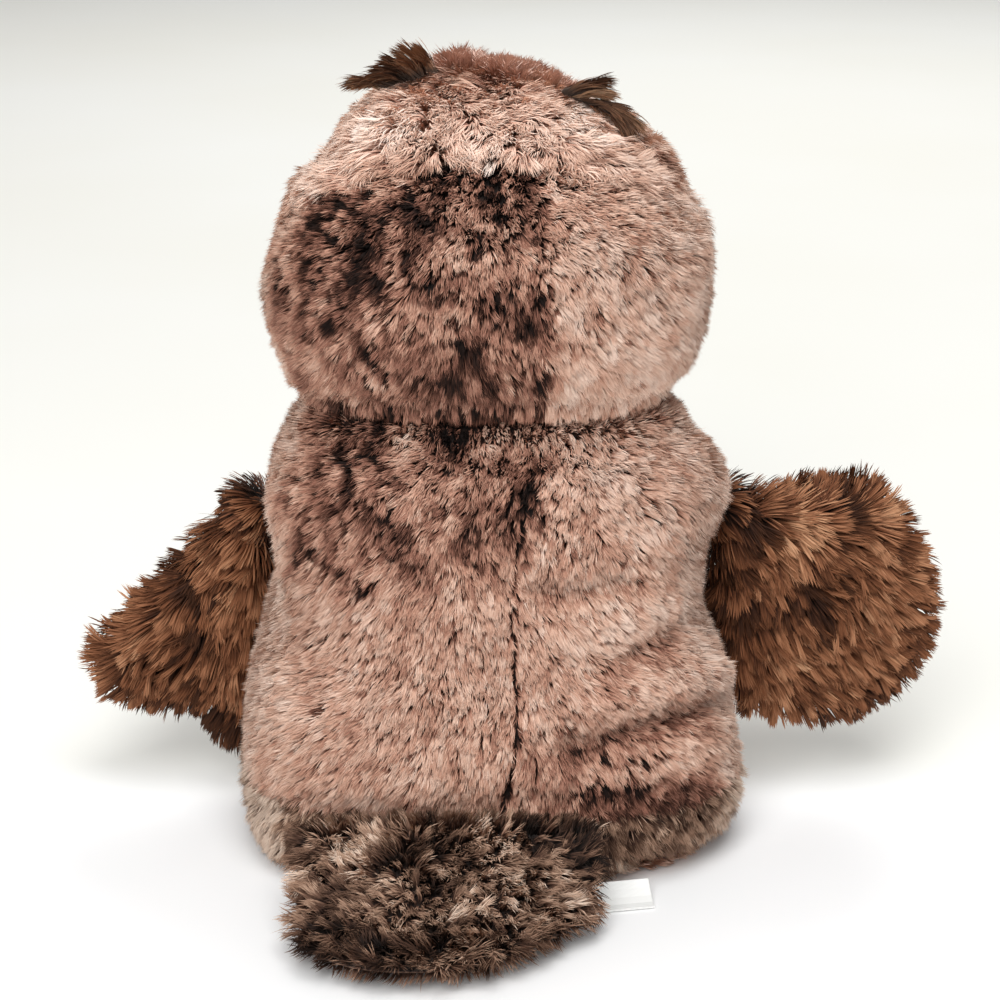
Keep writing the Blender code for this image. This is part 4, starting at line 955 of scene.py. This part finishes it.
class WingSide:
    """One skin of a wing, back (way 1) or front (way -1)."""

    def __init__(self, side_name, way, reach=0.86):
        self.side, droop, fan, self.length, self.shares = WINGS[side_name]
        self.droop, self.fan, self.way, self.reach = math.radians(droop), np.radians(fan), way, reach
        low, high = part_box("wing_%s_root" % side_name)
        self.root = np.array((low + high) / 2)

    def spot(self, u, v):
        across, along = 2 * u - 1, np.clip(v, 0.0, 1.02) * self.reach
        start = WING_ROOT_RADIUS * 0.4
        radius = start + (self.length * spread(self.shares, u) - start) * along
        angle = across * np.where(across < 0, *self.fan) - self.droop
        out = np.minimum(along / 0.45, 1)
        neck = 0.42 + 0.58 * np.sin(out * math.pi / 2)
        full = neck * np.sqrt(np.maximum(0, 1 - np.clip(v, 0, 1) ** 3)) * np.sqrt(np.maximum(0, 1 - np.clip(abs(across), 0, 1) ** 3))
        lift = self.way * (0.3 + 5.5 * full) * MM
        return self.root + np.stack([self.side * radius * np.cos(angle), lift, radius * np.sin(angle)], -1)

    def at(self, u, v, depth=0.0):
        toward = np.array([0.0, float(self.way), 0.0])
        return self.spot(u, v), surface_normals(self.spot, np.clip(u, 0.005, 0.995), np.clip(v, 0.005, 0.995), toward)

    def radial(self, points):
        return unit(points - self.root)


SHAGGY = Coat(
    "shaggy", "shaggy_fur", 16.0, 0.46, 5, (16, 70), lock=2.9, pull=0.74, turn=20, stray=3, bundle=11, bundle_pull=0.1,
    curl=0.25, tone_step=0.26, shape=0.5, ragged=0.08, blunt=0.62, fine=0.05,
)


def shaggy_tone(points, normals):
    x, y = to_px(points)
    lobe = smooth(x, 262, 232) * smooth(x, 168, 192) * smooth(y, 668, 696)
    root = smooth(x, 760, 735) * smooth(x, 700, 712) * smooth(y, 560, 620)
    return 0.36 - 0.4 * lobe - 0.3 * root + (noise(points, 16 * MM, 71) - 0.5) * 0.4 + (noise(points, 5 * MM, 72) - 0.5) * 0.4


def wing_flow(side):
    def flow(points, normals):
        x, y = to_px(points)
        if side.side < 0:
            angle = np.interp(x, (740, 790, 830, 900), (50, 34, 18, 8)) + 42 * smooth(y, 620, 700)
        else:
            angle = -np.interp(x, (80, 140, 200, 260), (72, 50, 36, 28))
        angle = np.radians(angle) + (noise(points, 16 * MM, 73) - 0.5) * 0.9
        hang = np.cos(angle)[:, None] * -UP + np.sin(angle)[:, None] * RIGHT
        return unit(hang) * 0.75 + side.radial(points) * 0.5
    return flow


def build_wing(side_name):
    body = "wing_" + side_name
    for way, label, density in ((1, "back", 4.6), (-1, "front", 3.6)):
        side = WingSide(side_name, way)
        name = "%s_%s" % (body, label)
        nodes = [name + "_skin"] + ([body + "_filling"] if way > 0 else [])
        skin(name + "_cloth", body, side.at, "brown_cloth", nodes, (40, 30))
        u, v = scatter(side.at, density, cells=(60, 60))
        roots, normals = side.at(u, v)
        rim = np.maximum(smooth(v, 0.72, 1.0), smooth(abs(2 * u - 1), 0.8, 1.0) * smooth(v, 0.2, 0.5))
        edge = side.spot(np.clip(u + 0.01 * np.sign(2 * u - 1), -0.2, 1.2), v) - side.spot(u, v)
        edge[:, 1] = 0
        sides = smooth(abs(2 * u - 1), 0.7, 1.0) * smooth(v, 0.05, 0.3)
        out = side.radial(roots) + unit(edge) * (1.1 * sides)[:, None]
        rim = np.maximum(rim, sides)
        flow = wing_flow(side)(roots, normals) * (1 - rim)[:, None] + out * rim[:, None] * 1.3
        grow(name + "_fur", body, SHAGGY, roots, normals, flow, shaggy_tone(roots, normals), 1.0 - 0.15 * rim, 0.15 * rim, 8)
    root = side.root
    u, v = rng.random(1500), rng.random(1500)
    ring, level = 2 * math.pi * u, np.arccos(2 * v - 1)
    out = np.stack([np.sin(level) * np.cos(ring), np.sin(level) * np.sin(ring), np.cos(level)], -1)
    ball = lambda a, b: (
        root + 6 * MM * np.stack([np.sin(math.pi * b) * np.cos(2 * math.pi * a), np.sin(math.pi * b) * np.sin(2 * math.pi * a), np.cos(math.pi * b)], -1), None
    )
    skin(body + "_root_cloth", body + "_base", ball, "brown_cloth", [body + "_root"], (16, 10))
    away = np.tile([side.side * 0.7, 0.0, -0.6], (1500, 1)) + 0.25 * out
    grow(body + "_root_fur", body + "_base", SHAGGY, root + out * 6 * MM, out, away, shaggy_tone(root + out * 6 * MM, out), 0.66, 0.35, 9)


# Tail and feet


class Flap:
    """A flat stuffed piece that lies on the table, with its hinge at its root."""

    def __init__(self, node, centre, heading, width, length, root, tip, drop, shares, toes=0, sink=0.0, round_=0.0, lump=0.0):
        self.round, self.lump = round_, lump
        self.centre, self.heading = np.array(centre), np.array(heading)
        self.half, self.length, self.root, self.tip, self.drop = width / 2, length, root, tip, drop
        self.shares, self.toes, self.sink = shares, toes, sink

    def spot(self, u, v, way):
        across = np.clip(2 * u - 1, -1, 1)
        share = spread(self.shares, u) * (1 - self.round * across**4)
        reach = -self.root + v * (self.root + self.length * share)
        level = np.where(reach > 0, reach / share, reach)
        thick = np.where(
            level <= 0, np.sqrt(np.maximum(0, self.root**2 - np.minimum(level, 0) ** 2)),
            (self.root + (self.tip - self.root) * np.clip(level / self.length, 0, 1) ** 2)
            * np.sqrt(np.maximum(0, 1 - np.clip(level / self.length, 0, 1) ** 6)),
        )
        side_fall = 0.45 + 0.55 * np.sqrt(np.maximum(0, 1 - across**4))
        groove = 1.0
        if self.toes:
            groove = 1 - 0.6 * (1 - np.sqrt(abs(np.cos(across * self.toes * math.pi / 2)))) * v
        spot = np.column_stack([across * self.half, reach, np.zeros(len(u))])
        lump = self.lump * (noise(spot, 15 * MM, 84) - 0.4) * smooth(v, 0.1, 0.4) * smooth(v, 1.0, 0.85) * smooth(abs(across), 1.0, 0.8)
        lift = np.maximum(thick * side_fall * groove - self.sink + lump * (way > 0), 0.25 * MM)
        fall_share = np.clip(np.maximum(level, 0) / self.length, 0, 1)
        drop = self.drop * np.sin(fall_share * math.pi / 2)
        sideways = np.array([self.heading[1], -self.heading[0], 0.0])
        spot = self.centre + (across * self.half)[:, None] * sideways + reach[:, None] * self.heading
        return spot + np.stack([np.zeros(len(u)), np.zeros(len(u)), way * lift - drop], -1)

    def at(self, way, low=0.0, high=1.0):
        def surface(u, v, depth=0.0):
            v = low + (high - low) * v
            points = self.spot(u, v, way)
            normals = surface_normals(lambda a, b: self.spot(a, b, way), np.clip(u, 0.01, 0.99), np.clip(v, 0.01, 0.97), np.array([0, 0, float(way)]))
            return points, normals
        return surface


TAIL_COAT = Coat("mottled", "mottled_fur", 8.4, 0.5, 3, (0, 42), lock=2.7, pull=0.6, turn=60, stray=14, tone_step=0.24, bundle=8, bundle_pull=0.16)
UNDER_COAT = Coat("mottled", "cream_fur", 6.0, 0.5, 3, (20, 70), lock=2.6, pull=0.5)
FOOT_COAT = Coat("foot", "foot_plush", 3.6, 0.4, 3, (10, 50), lock=1.6, pull=0.3, tone_step=0.12)


def tail_tone(points, normals):
    x, y = to_px(points)
    return 0.46 + 0.3 * smooth(x, 500, 540) * smooth(y, 868, 850) + (noise(points, 15 * MM, 81) - 0.5) * 0.8 + (noise(points, 6 * MM, 82) - 0.5) * 0.8


def build_tail():
    tail = Flap("tail", (0.013, 0.071564, 0.0259), (0, 1, 0), 88 * MM, 47 * MM, 7 * MM, 4 * MM, 18.5 * MM, (0.34, 0.66, 0.88, 1.0, 1.02, 0.98, 0.86), sink=3.4 * MM, round_=0.2, lump=9 * MM)
    top, under = tail.at(1, 0.0, 0.93), tail.at(-1, 0.0, 0.93)
    skin("tail_top_cloth", "tail", top, "dark_cloth", ["tail_top_skin", "tail_filling"], (50, 30))
    skin("tail_under_cloth", "tail", under, "cream_cloth", ["tail_under_skin"], (50, 30))
    u, v = scatter(top, 4.6, cells=(60, 40))
    roots, normals = top(u, v)
    rim = np.maximum(smooth(v, 0.8, 1.0), smooth(abs(2 * u - 1), 0.88, 1.0))
    out = np.column_stack([(roots[:, 0] - 0.013) * 12, 0.25 + 0 * u, 0 * u - 0.1])
    grow("tail_top_fur", "tail", TAIL_COAT, roots, normals, out, tail_tone(roots, normals), 1.0 + 0.08 * rim, 0.6 * rim, 10)
    u, v = scatter(under, 2.0, cells=(60, 40))
    roots, normals = under(u, v)
    rim = np.maximum(smooth(v, 0.8, 1.0), smooth(abs(2 * u - 1), 0.88, 1.0))
    out = np.column_stack([(roots[:, 0] - 0.013) * 12, 0.25 + 0 * u, 0 * u + 0.1])
    grow("tail_under_fur", "tail", UNDER_COAT, roots, normals, out, tail_tone(roots, normals) + 0.1, 0.4 + 0.5 * rim, 0.2, 10)


def build_feet():
    for side_name, side in (("left", 1), ("right", -1)):
        centre = (side * 0.030919, -0.067551, 0.0084)
        heading = (side * 0.087565, -0.996159, 0.0)
        foot = Flap("foot", centre, heading, 36 * MM, 27 * MM, 8 * MM, 5 * MM, 0.0, (0.70, 0.86, 0.74, 0.94, 1.00, 0.94, 0.74, 0.86, 0.70), 3, sink=1.8 * MM)
        body = "foot_%s_body" % side_name
        for way, label in ((1, "top"), (-1, "under")):
            surface = foot.at(way, 0.0, 0.97)
            nodes = ["foot_" + side_name] if way > 0 else []
            skin("foot_%s_%s_cloth" % (side_name, label), body, surface, "cream_cloth", nodes, (60, 24))
            u, v = scatter(surface, 5.0, cells=(50, 30))
            roots, normals = surface(u, v)
            across = 2 * u - 1
            tip, edge = smooth(v, 0.7, 1.0), smooth(abs(across), 0.75, 1.0)
            rim = np.maximum(tip, edge)[:, None]
            ahead, aside = np.array(heading), np.array([heading[1], -heading[0], 0.0])
            beyond = tip[:, None] * ahead + (edge * np.sign(across))[:, None] * aside
            normals = unit(normals * (1 - 0.7 * rim) + beyond)
            out = ahead + rim * np.array([0.0, 0.0, -1.6 * way])
            tone = 0.5 + (noise(roots, 6 * MM, 91) - 0.5) * 0.5
            grow("foot_%s_%s_fur" % (side_name, label), body, FOOT_COAT, roots, normals, out, tone, 1.0 if way > 0 else 0.45 + 0.5 * rim[:, 0], 0.0 if way > 0 else 0.4 * (1 - rim[:, 0]), 11)


# Things on the head


def bisect(low, high, above, steps=34):
    """Where a rule of whole arrays turns from True to False."""
    for _ in range(steps):
        middle = (low + high) / 2
        yes = above(middle)
        low, high = np.where(yes, middle, low), np.where(yes, high, middle)
    return low


def on_front(x, z, depth=0.0):
    """Points and normals of the face at x across and z up, sunk by a depth."""
    x, z = np.broadcast_arrays(np.asarray(x, float), np.asarray(z, float))
    shape = x.shape
    x, z = x.ravel(), z.ravel()
    place = bisect(np.zeros(len(x)), np.full(len(x), float(HEAD.top)), lambda p: HEAD.point(np.zeros(len(x)), p)[:, 2] < z)
    angle = bisect(np.full(len(x), -math.pi), np.zeros(len(x)), lambda a: HEAD.point(a, place)[:, 0] < x)
    points, normals = HEAD.point(angle, place), HEAD.normal(angle, place)
    points = points + (relief(points, normals) - depth)[:, None] * normals
    return points.reshape(shape + (3,)), normals.reshape(shape + (3,))


def on_top(x, y, depth=0.0):
    """Points and normals of the dome over a place in plan, sunk by a depth."""
    x, y = np.broadcast_arrays(np.asarray(x, float), np.asarray(y, float))
    angle, radius = np.arctan2(y, x), np.hypot(x, y)
    place = bisect(np.full(len(x), 5.0), np.full(len(x), float(HEAD.top)), lambda p: np.hypot(*HEAD.point(angle, p)[:, :2].T) > radius)
    points, normals = HEAD.point(angle, place), HEAD.normal(angle, place)
    points = points + (relief(points, normals) - depth)[:, None] * normals
    return points, normals


TUFT = Coat(
    "dark_tuft", "dark_tuft_fur", 16, 0.42, 5, (-6, 48), lock=4.6, pull=0.74, turn=0, stray=4, curl=0.3, bundle_pull=0.0,
    shape=0.5, ragged=0.2, blunt=0.7, tone_step=0.24,
)
RUFFLE = Coat("ruffle", "frosted_fur", 8.6, 0.46, 4, (-6, 52), lock=2.8, pull=0.6, turn=60, stray=18, curl=0.7, tone_step=0.14)


def build_tufts():
    """Two fans of long locks: from each first root and angle in the picture to its last."""
    for side_name, first, last, turn, locks_in in (
        ("left", (32 * MM, 7 * MM), (18 * MM, 4 * MM), (184, 112), 17),
        ("right", (-24 * MM, 9 * MM), (-39 * MM, 13 * MM), (14, -42), 18),
    ):
        each = 95
        share = (np.arange(locks_in) + rng.uniform(-0.3, 0.3, locks_in)) / (locks_in - 1)
        start, end = np.array(first), np.array(last)
        middle = start + share[:, None] * (end - start) + rng.normal(0, 1.3 * MM, (locks_in, 2))
        turned = np.radians(turn[0] + share * (turn[1] - turn[0]) + rng.normal(0, 9, locks_in))
        size = rng.uniform(0.7, 1.0, locks_in) * ((0.9 - 0.16 * share**2) if side_name == "left" else 0.98)
        number = np.repeat(np.arange(locks_in), each)
        r, a = 1.9 * MM * np.sqrt(rng.random(len(number))), rng.random(len(number)) * 2 * math.pi
        spot = middle[number] + np.column_stack([r * np.cos(a), r * np.sin(a)])
        depth = 0.5 * MM if side_name == "left" else 0.0
        roots, normals = on_top(spot[:, 0], spot[:, 1], depth)
        centres = on_top(middle[:, 0], middle[:, 1], depth)[0][number]
        out = np.cos(turned)[:, None] * RIGHT + np.sin(turned)[:, None] * UP
        axis = unit(out[number] * 0.9 + normals * (0.42 if side_name == "left" else 0.3))
        down = np.tile(-UP, (len(number), 1)) + (rng.random(locks_in)[number, None] - 0.5) * RIGHT
        tone = 0.5 + rng.normal(0, 0.14, locks_in)[number]
        made = grow(
            "ear_tuft_%s_fur" % side_name, "head", TUFT, roots, axis, down, tone, size[number], 0.0, 12,
            centres=(centres, number),
        )
        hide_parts("ear_tuft_" + side_name)


def build_brow():
    count = 11000
    x, y = rng.uniform(-31, 22, count) * MM, (-13 + rng.uniform(-15, 15, count)) * MM
    keep = ((x + 4 * MM) / (29 * MM)) ** 2 + ((y + 13 * MM) / (16 * MM)) ** 2 < 0.7 + 0.5 * rng.random(count)
    x, y = x[keep], y[keep]
    count = len(x)
    roots, normals = on_top(x, y, 5.5 * MM)
    flow = np.column_stack([np.full(count, -0.2), np.full(count, 0.8), np.full(count, 0.2)])
    tone = 0.76 + (noise(roots, 7 * MM, 97) - 0.5) * 0.7
    rise = 1.0 + 0.25 * np.exp(-(((x - 9 * MM) / (7 * MM)) ** 2))
    made = grow("brow_ruffle_fur", "head", RUFFLE, roots, normals, flow, tone, rise * rng.uniform(0.85, 1.05, count), 0.0, 13)
    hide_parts("brow_ruffle")


def build_beak():
    """A small stuffed felt beak, round on top and drawn to a point that turns down."""
    low, high = (np.array(c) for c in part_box("beak"))
    middle, half = (low + high) / 2, (high - low) / 2
    u, v = np.meshgrid(np.linspace(0, 1, 41), np.linspace(0, 1, 25))
    u, v = u.ravel(), v.ravel()
    across, up = np.cos(2 * math.pi * u), np.sin(2 * math.pi * u)
    size = np.cos(v * math.pi / 2) ** 0.8
    front = np.sin(v * math.pi / 2)
    base = on_front(half[0] * across * 0.98, middle[2] + 1.0 * MM + (half[2] - 1.0 * MM) * up * 0.98, -2.0 * MM)[0]
    centre = np.array([0.0, 0.0, middle[2] + 0.5 * MM])
    size = size * np.where(up < 0, 1 - 0.35 * abs(up) ** 1.5, 1.0)
    points = centre + (base - centre) * np.column_stack([size, np.ones(len(u)), size / np.where(up < 0, 1 - 0.35 * abs(up) ** 1.5, 1.0)])
    points[:, 1] = base[:, 1] * (1 - front) + (low[1] + 0.3 * MM) * front
    points[:, 2] -= (centre[2] - low[2] - 1.0 * MM) * v**2 * 0.9
    points[:, 2] += 0.5 * MM * size * np.exp(-((across / 0.25) ** 2)) * (up > 0)
    made = add_mesh("beak_felt", points, [grid_faces(25, 41)], "felt", "head")
    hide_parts("beak")


DISC_COAT = Coat("disc", "disc_plush", 5.0, 0.42, 3, (15, 78), lock=1.8, pull=0.35, turn=10, stray=8)


def build_face():
    z = 201.41 * MM
    for side_name, side in (("left", 1), ("right", -1)):
        x = side * 26.455 * MM

        def disc(u, v, depth=0.0):
            radius = 25 * MM * (0.04 + 0.94 * v)
            points, normals = on_front(x + radius * np.cos(2 * math.pi * u), z + radius * np.sin(2 * math.pi * u), -1.2 * MM)
            return points, normals

        skin("facial_disc_%s_cloth" % side_name, "head", disc, "cream_cloth", ["facial_disc_" + side_name], (48, 12))
        u, v = scatter(disc, 4.6, cells=(60, 20))
        v = np.maximum(v, 0.24)
        roots, normals = disc(u, v)
        middle = on_front(np.array([x]), np.array([z]))[0]
        rim = smooth(v, 0.8, 1.0)
        tone = 0.58 + (noise(roots, 7 * MM, 98) - 0.5) * 0.4 - 0.08 * rim
        grow("facial_disc_%s_fur" % side_name, "head", DISC_COAT, roots, normals, roots - middle, tone, 0.7 + 0.5 * v, 0.5 * rim, 14)


def plastic_look(name, dark, pale, roughness, speckle=900.0, coat=0.3):
    """Moulded plastic with a faint cloudiness and a few scuffs."""
    look = Look(name, roughness, specular=0.5)
    look.colour(look.ramp(look.noise(speckle), ((0.3, dark), (0.7, pale))))
    scuffs = look.step(look.noise(240.0, 6.0), 0.55, 0.75)
    look.feed(look.shader, "Roughness", look.math("MULTIPLY_ADD", scuffs, 0.12, roughness))
    look.shader.inputs["Coat Weight"].default_value = coat
    look.bump(look.noise(500.0), 0.02 * MM, 0.3)
    return look.material


def satin_look():
    """Woven satin, with fine threads across it."""
    look = Look("tab_satin", 0.42, 0.25)
    place = look.node("TexCoord").outputs["Object"]
    wave = look.node("TexWave", Vector=place, Scale=900.0, Distortion=0.6)
    wave.bands_direction = "Y"
    threads = wave.outputs["Fac"]
    look.colour(look.mix(look.math("MULTIPLY_ADD", threads, 0.25, look.math("MULTIPLY", look.noise(80.0), 0.5)), srgb("f6f6f3"), srgb("dcdcd8")))
    look.bump(threads, 0.05 * MM, 0.5)
    return look.material


def dress_nodes():
    """Better materials on the CAD nodes that stay."""
    dark = plastic_look("eye_plastic_gloss", "0c0604", "1a0e08", 0.07, coat=0.0)
    washer = plastic_look("washer_plastic_white", "d9d9d6", "e6e6e4", 0.4)
    looks = {
        "eye_left": dark, "eye_right": dark, "eye_washer_left": washer, "eye_washer_right": washer,
        "pellet_pouch": LOOKS["pouch"], "neck_filling": LOOKS["fibre"], "sewn_in_tab": satin_look(),
    }
    for name, look in looks.items():
        node = frame["nodes"][name]
        for part in [node] + list(node.children_recursive):
            for k, slot in enumerate(getattr(part, "material_slots", [])):
                slot.link = "OBJECT"
                slot.material = look


build_torso()
build_seat()
build_head()
build_fillings()
build_lips()
build_wing("left")
build_wing("right")
build_tail()
build_feet()
build_tufts()
build_brow()
build_face()
build_beak()
dress_nodes()


# Studio


def build_studio():
    scene = bpy.context.scene
    scene.view_settings.view_transform = "Standard"
    look = Look("studio_floor", 0.9, 0.0, specular=0.0)
    place = look.node("TexCoord").outputs["Object"]
    split = look.node("SeparateXYZ", Vector=place)
    # painted shade: beyond the owl the floor is painted a little greyer, standing in for a backdrop wall in less light
    far = look.step(split.outputs[1], 0.0, -0.05)
    cloudy = look.noise(2.0)
    near = look.ramp(cloudy, ((0.3, "fcfcfb"), (0.7, "fefefe")))
    wall_painted_shade = look.ramp(cloudy, ((0.3, "f5f4ec"), (0.7, "f8f8f3")))
    look.colour(look.mix(far, near, wall_painted_shade))
    bpy.ops.mesh.primitive_grid_add(x_subdivisions=8, y_subdivisions=8, size=14, location=(0, 0, 0))
    floor = bpy.context.object
    floor.name = "studio_floor"
    floor.data.materials.append(look.material)

    world = bpy.data.worlds.new("studio_world")
    world.use_nodes = True
    back = world.node_tree.nodes["Background"]
    back.inputs["Color"].default_value = (0.98, 0.98, 1.0, 1.0)
    seen = world.node_tree.nodes.new("ShaderNodeLightPath")
    strength = world.node_tree.nodes.new("ShaderNodeMapRange")
    strength.inputs["To Min"].default_value = 0.38
    strength.inputs["To Max"].default_value = 0.9
    world.node_tree.links.new(seen.outputs["Is Camera Ray"], strength.inputs["Value"])
    world.node_tree.links.new(strength.outputs[0], back.inputs["Strength"])
    scene.world = world
    for name, place, size, power in (
        ("key", (0.35, 1.5, 1.3), 1.0, 21.5),
        ("top", (-0.15, 0.75, 1.6), 0.9, 12.6),
        ("front", (-0.3, -1.5, 1.3), 1.2, 12.0),
    ):
        data = bpy.data.lights.new(name, "AREA")
        data.shape, data.size, data.energy = "DISK", size, power
        lamp = bpy.data.objects.new(name, data)
        scene.collection.objects.link(lamp)
        lamp.location = place
        aim = np.array([0.0, 0.0, 0.1]) - np.array(place)
        lamp.rotation_euler = mathutils_track(aim)

    data = bpy.data.cameras.new("camera")
    data.sensor_width = SENSOR
    data.lens = SENSOR * DISTANCE / FRAME_WIDTH
    camera = bpy.data.objects.new("camera", data)
    scene.collection.objects.link(camera)
    camera.location = tuple(EYE)
    camera.rotation_euler = mathutils_track(AIM - EYE)
    scene.camera = camera


def mathutils_track(direction):
    """The turn that points a lamp or a camera, which look down -Z, in a direction."""
    from mathutils import Vector

    return Vector(tuple(direction)).to_track_quat("-Z", "Y").to_euler()


build_studio()
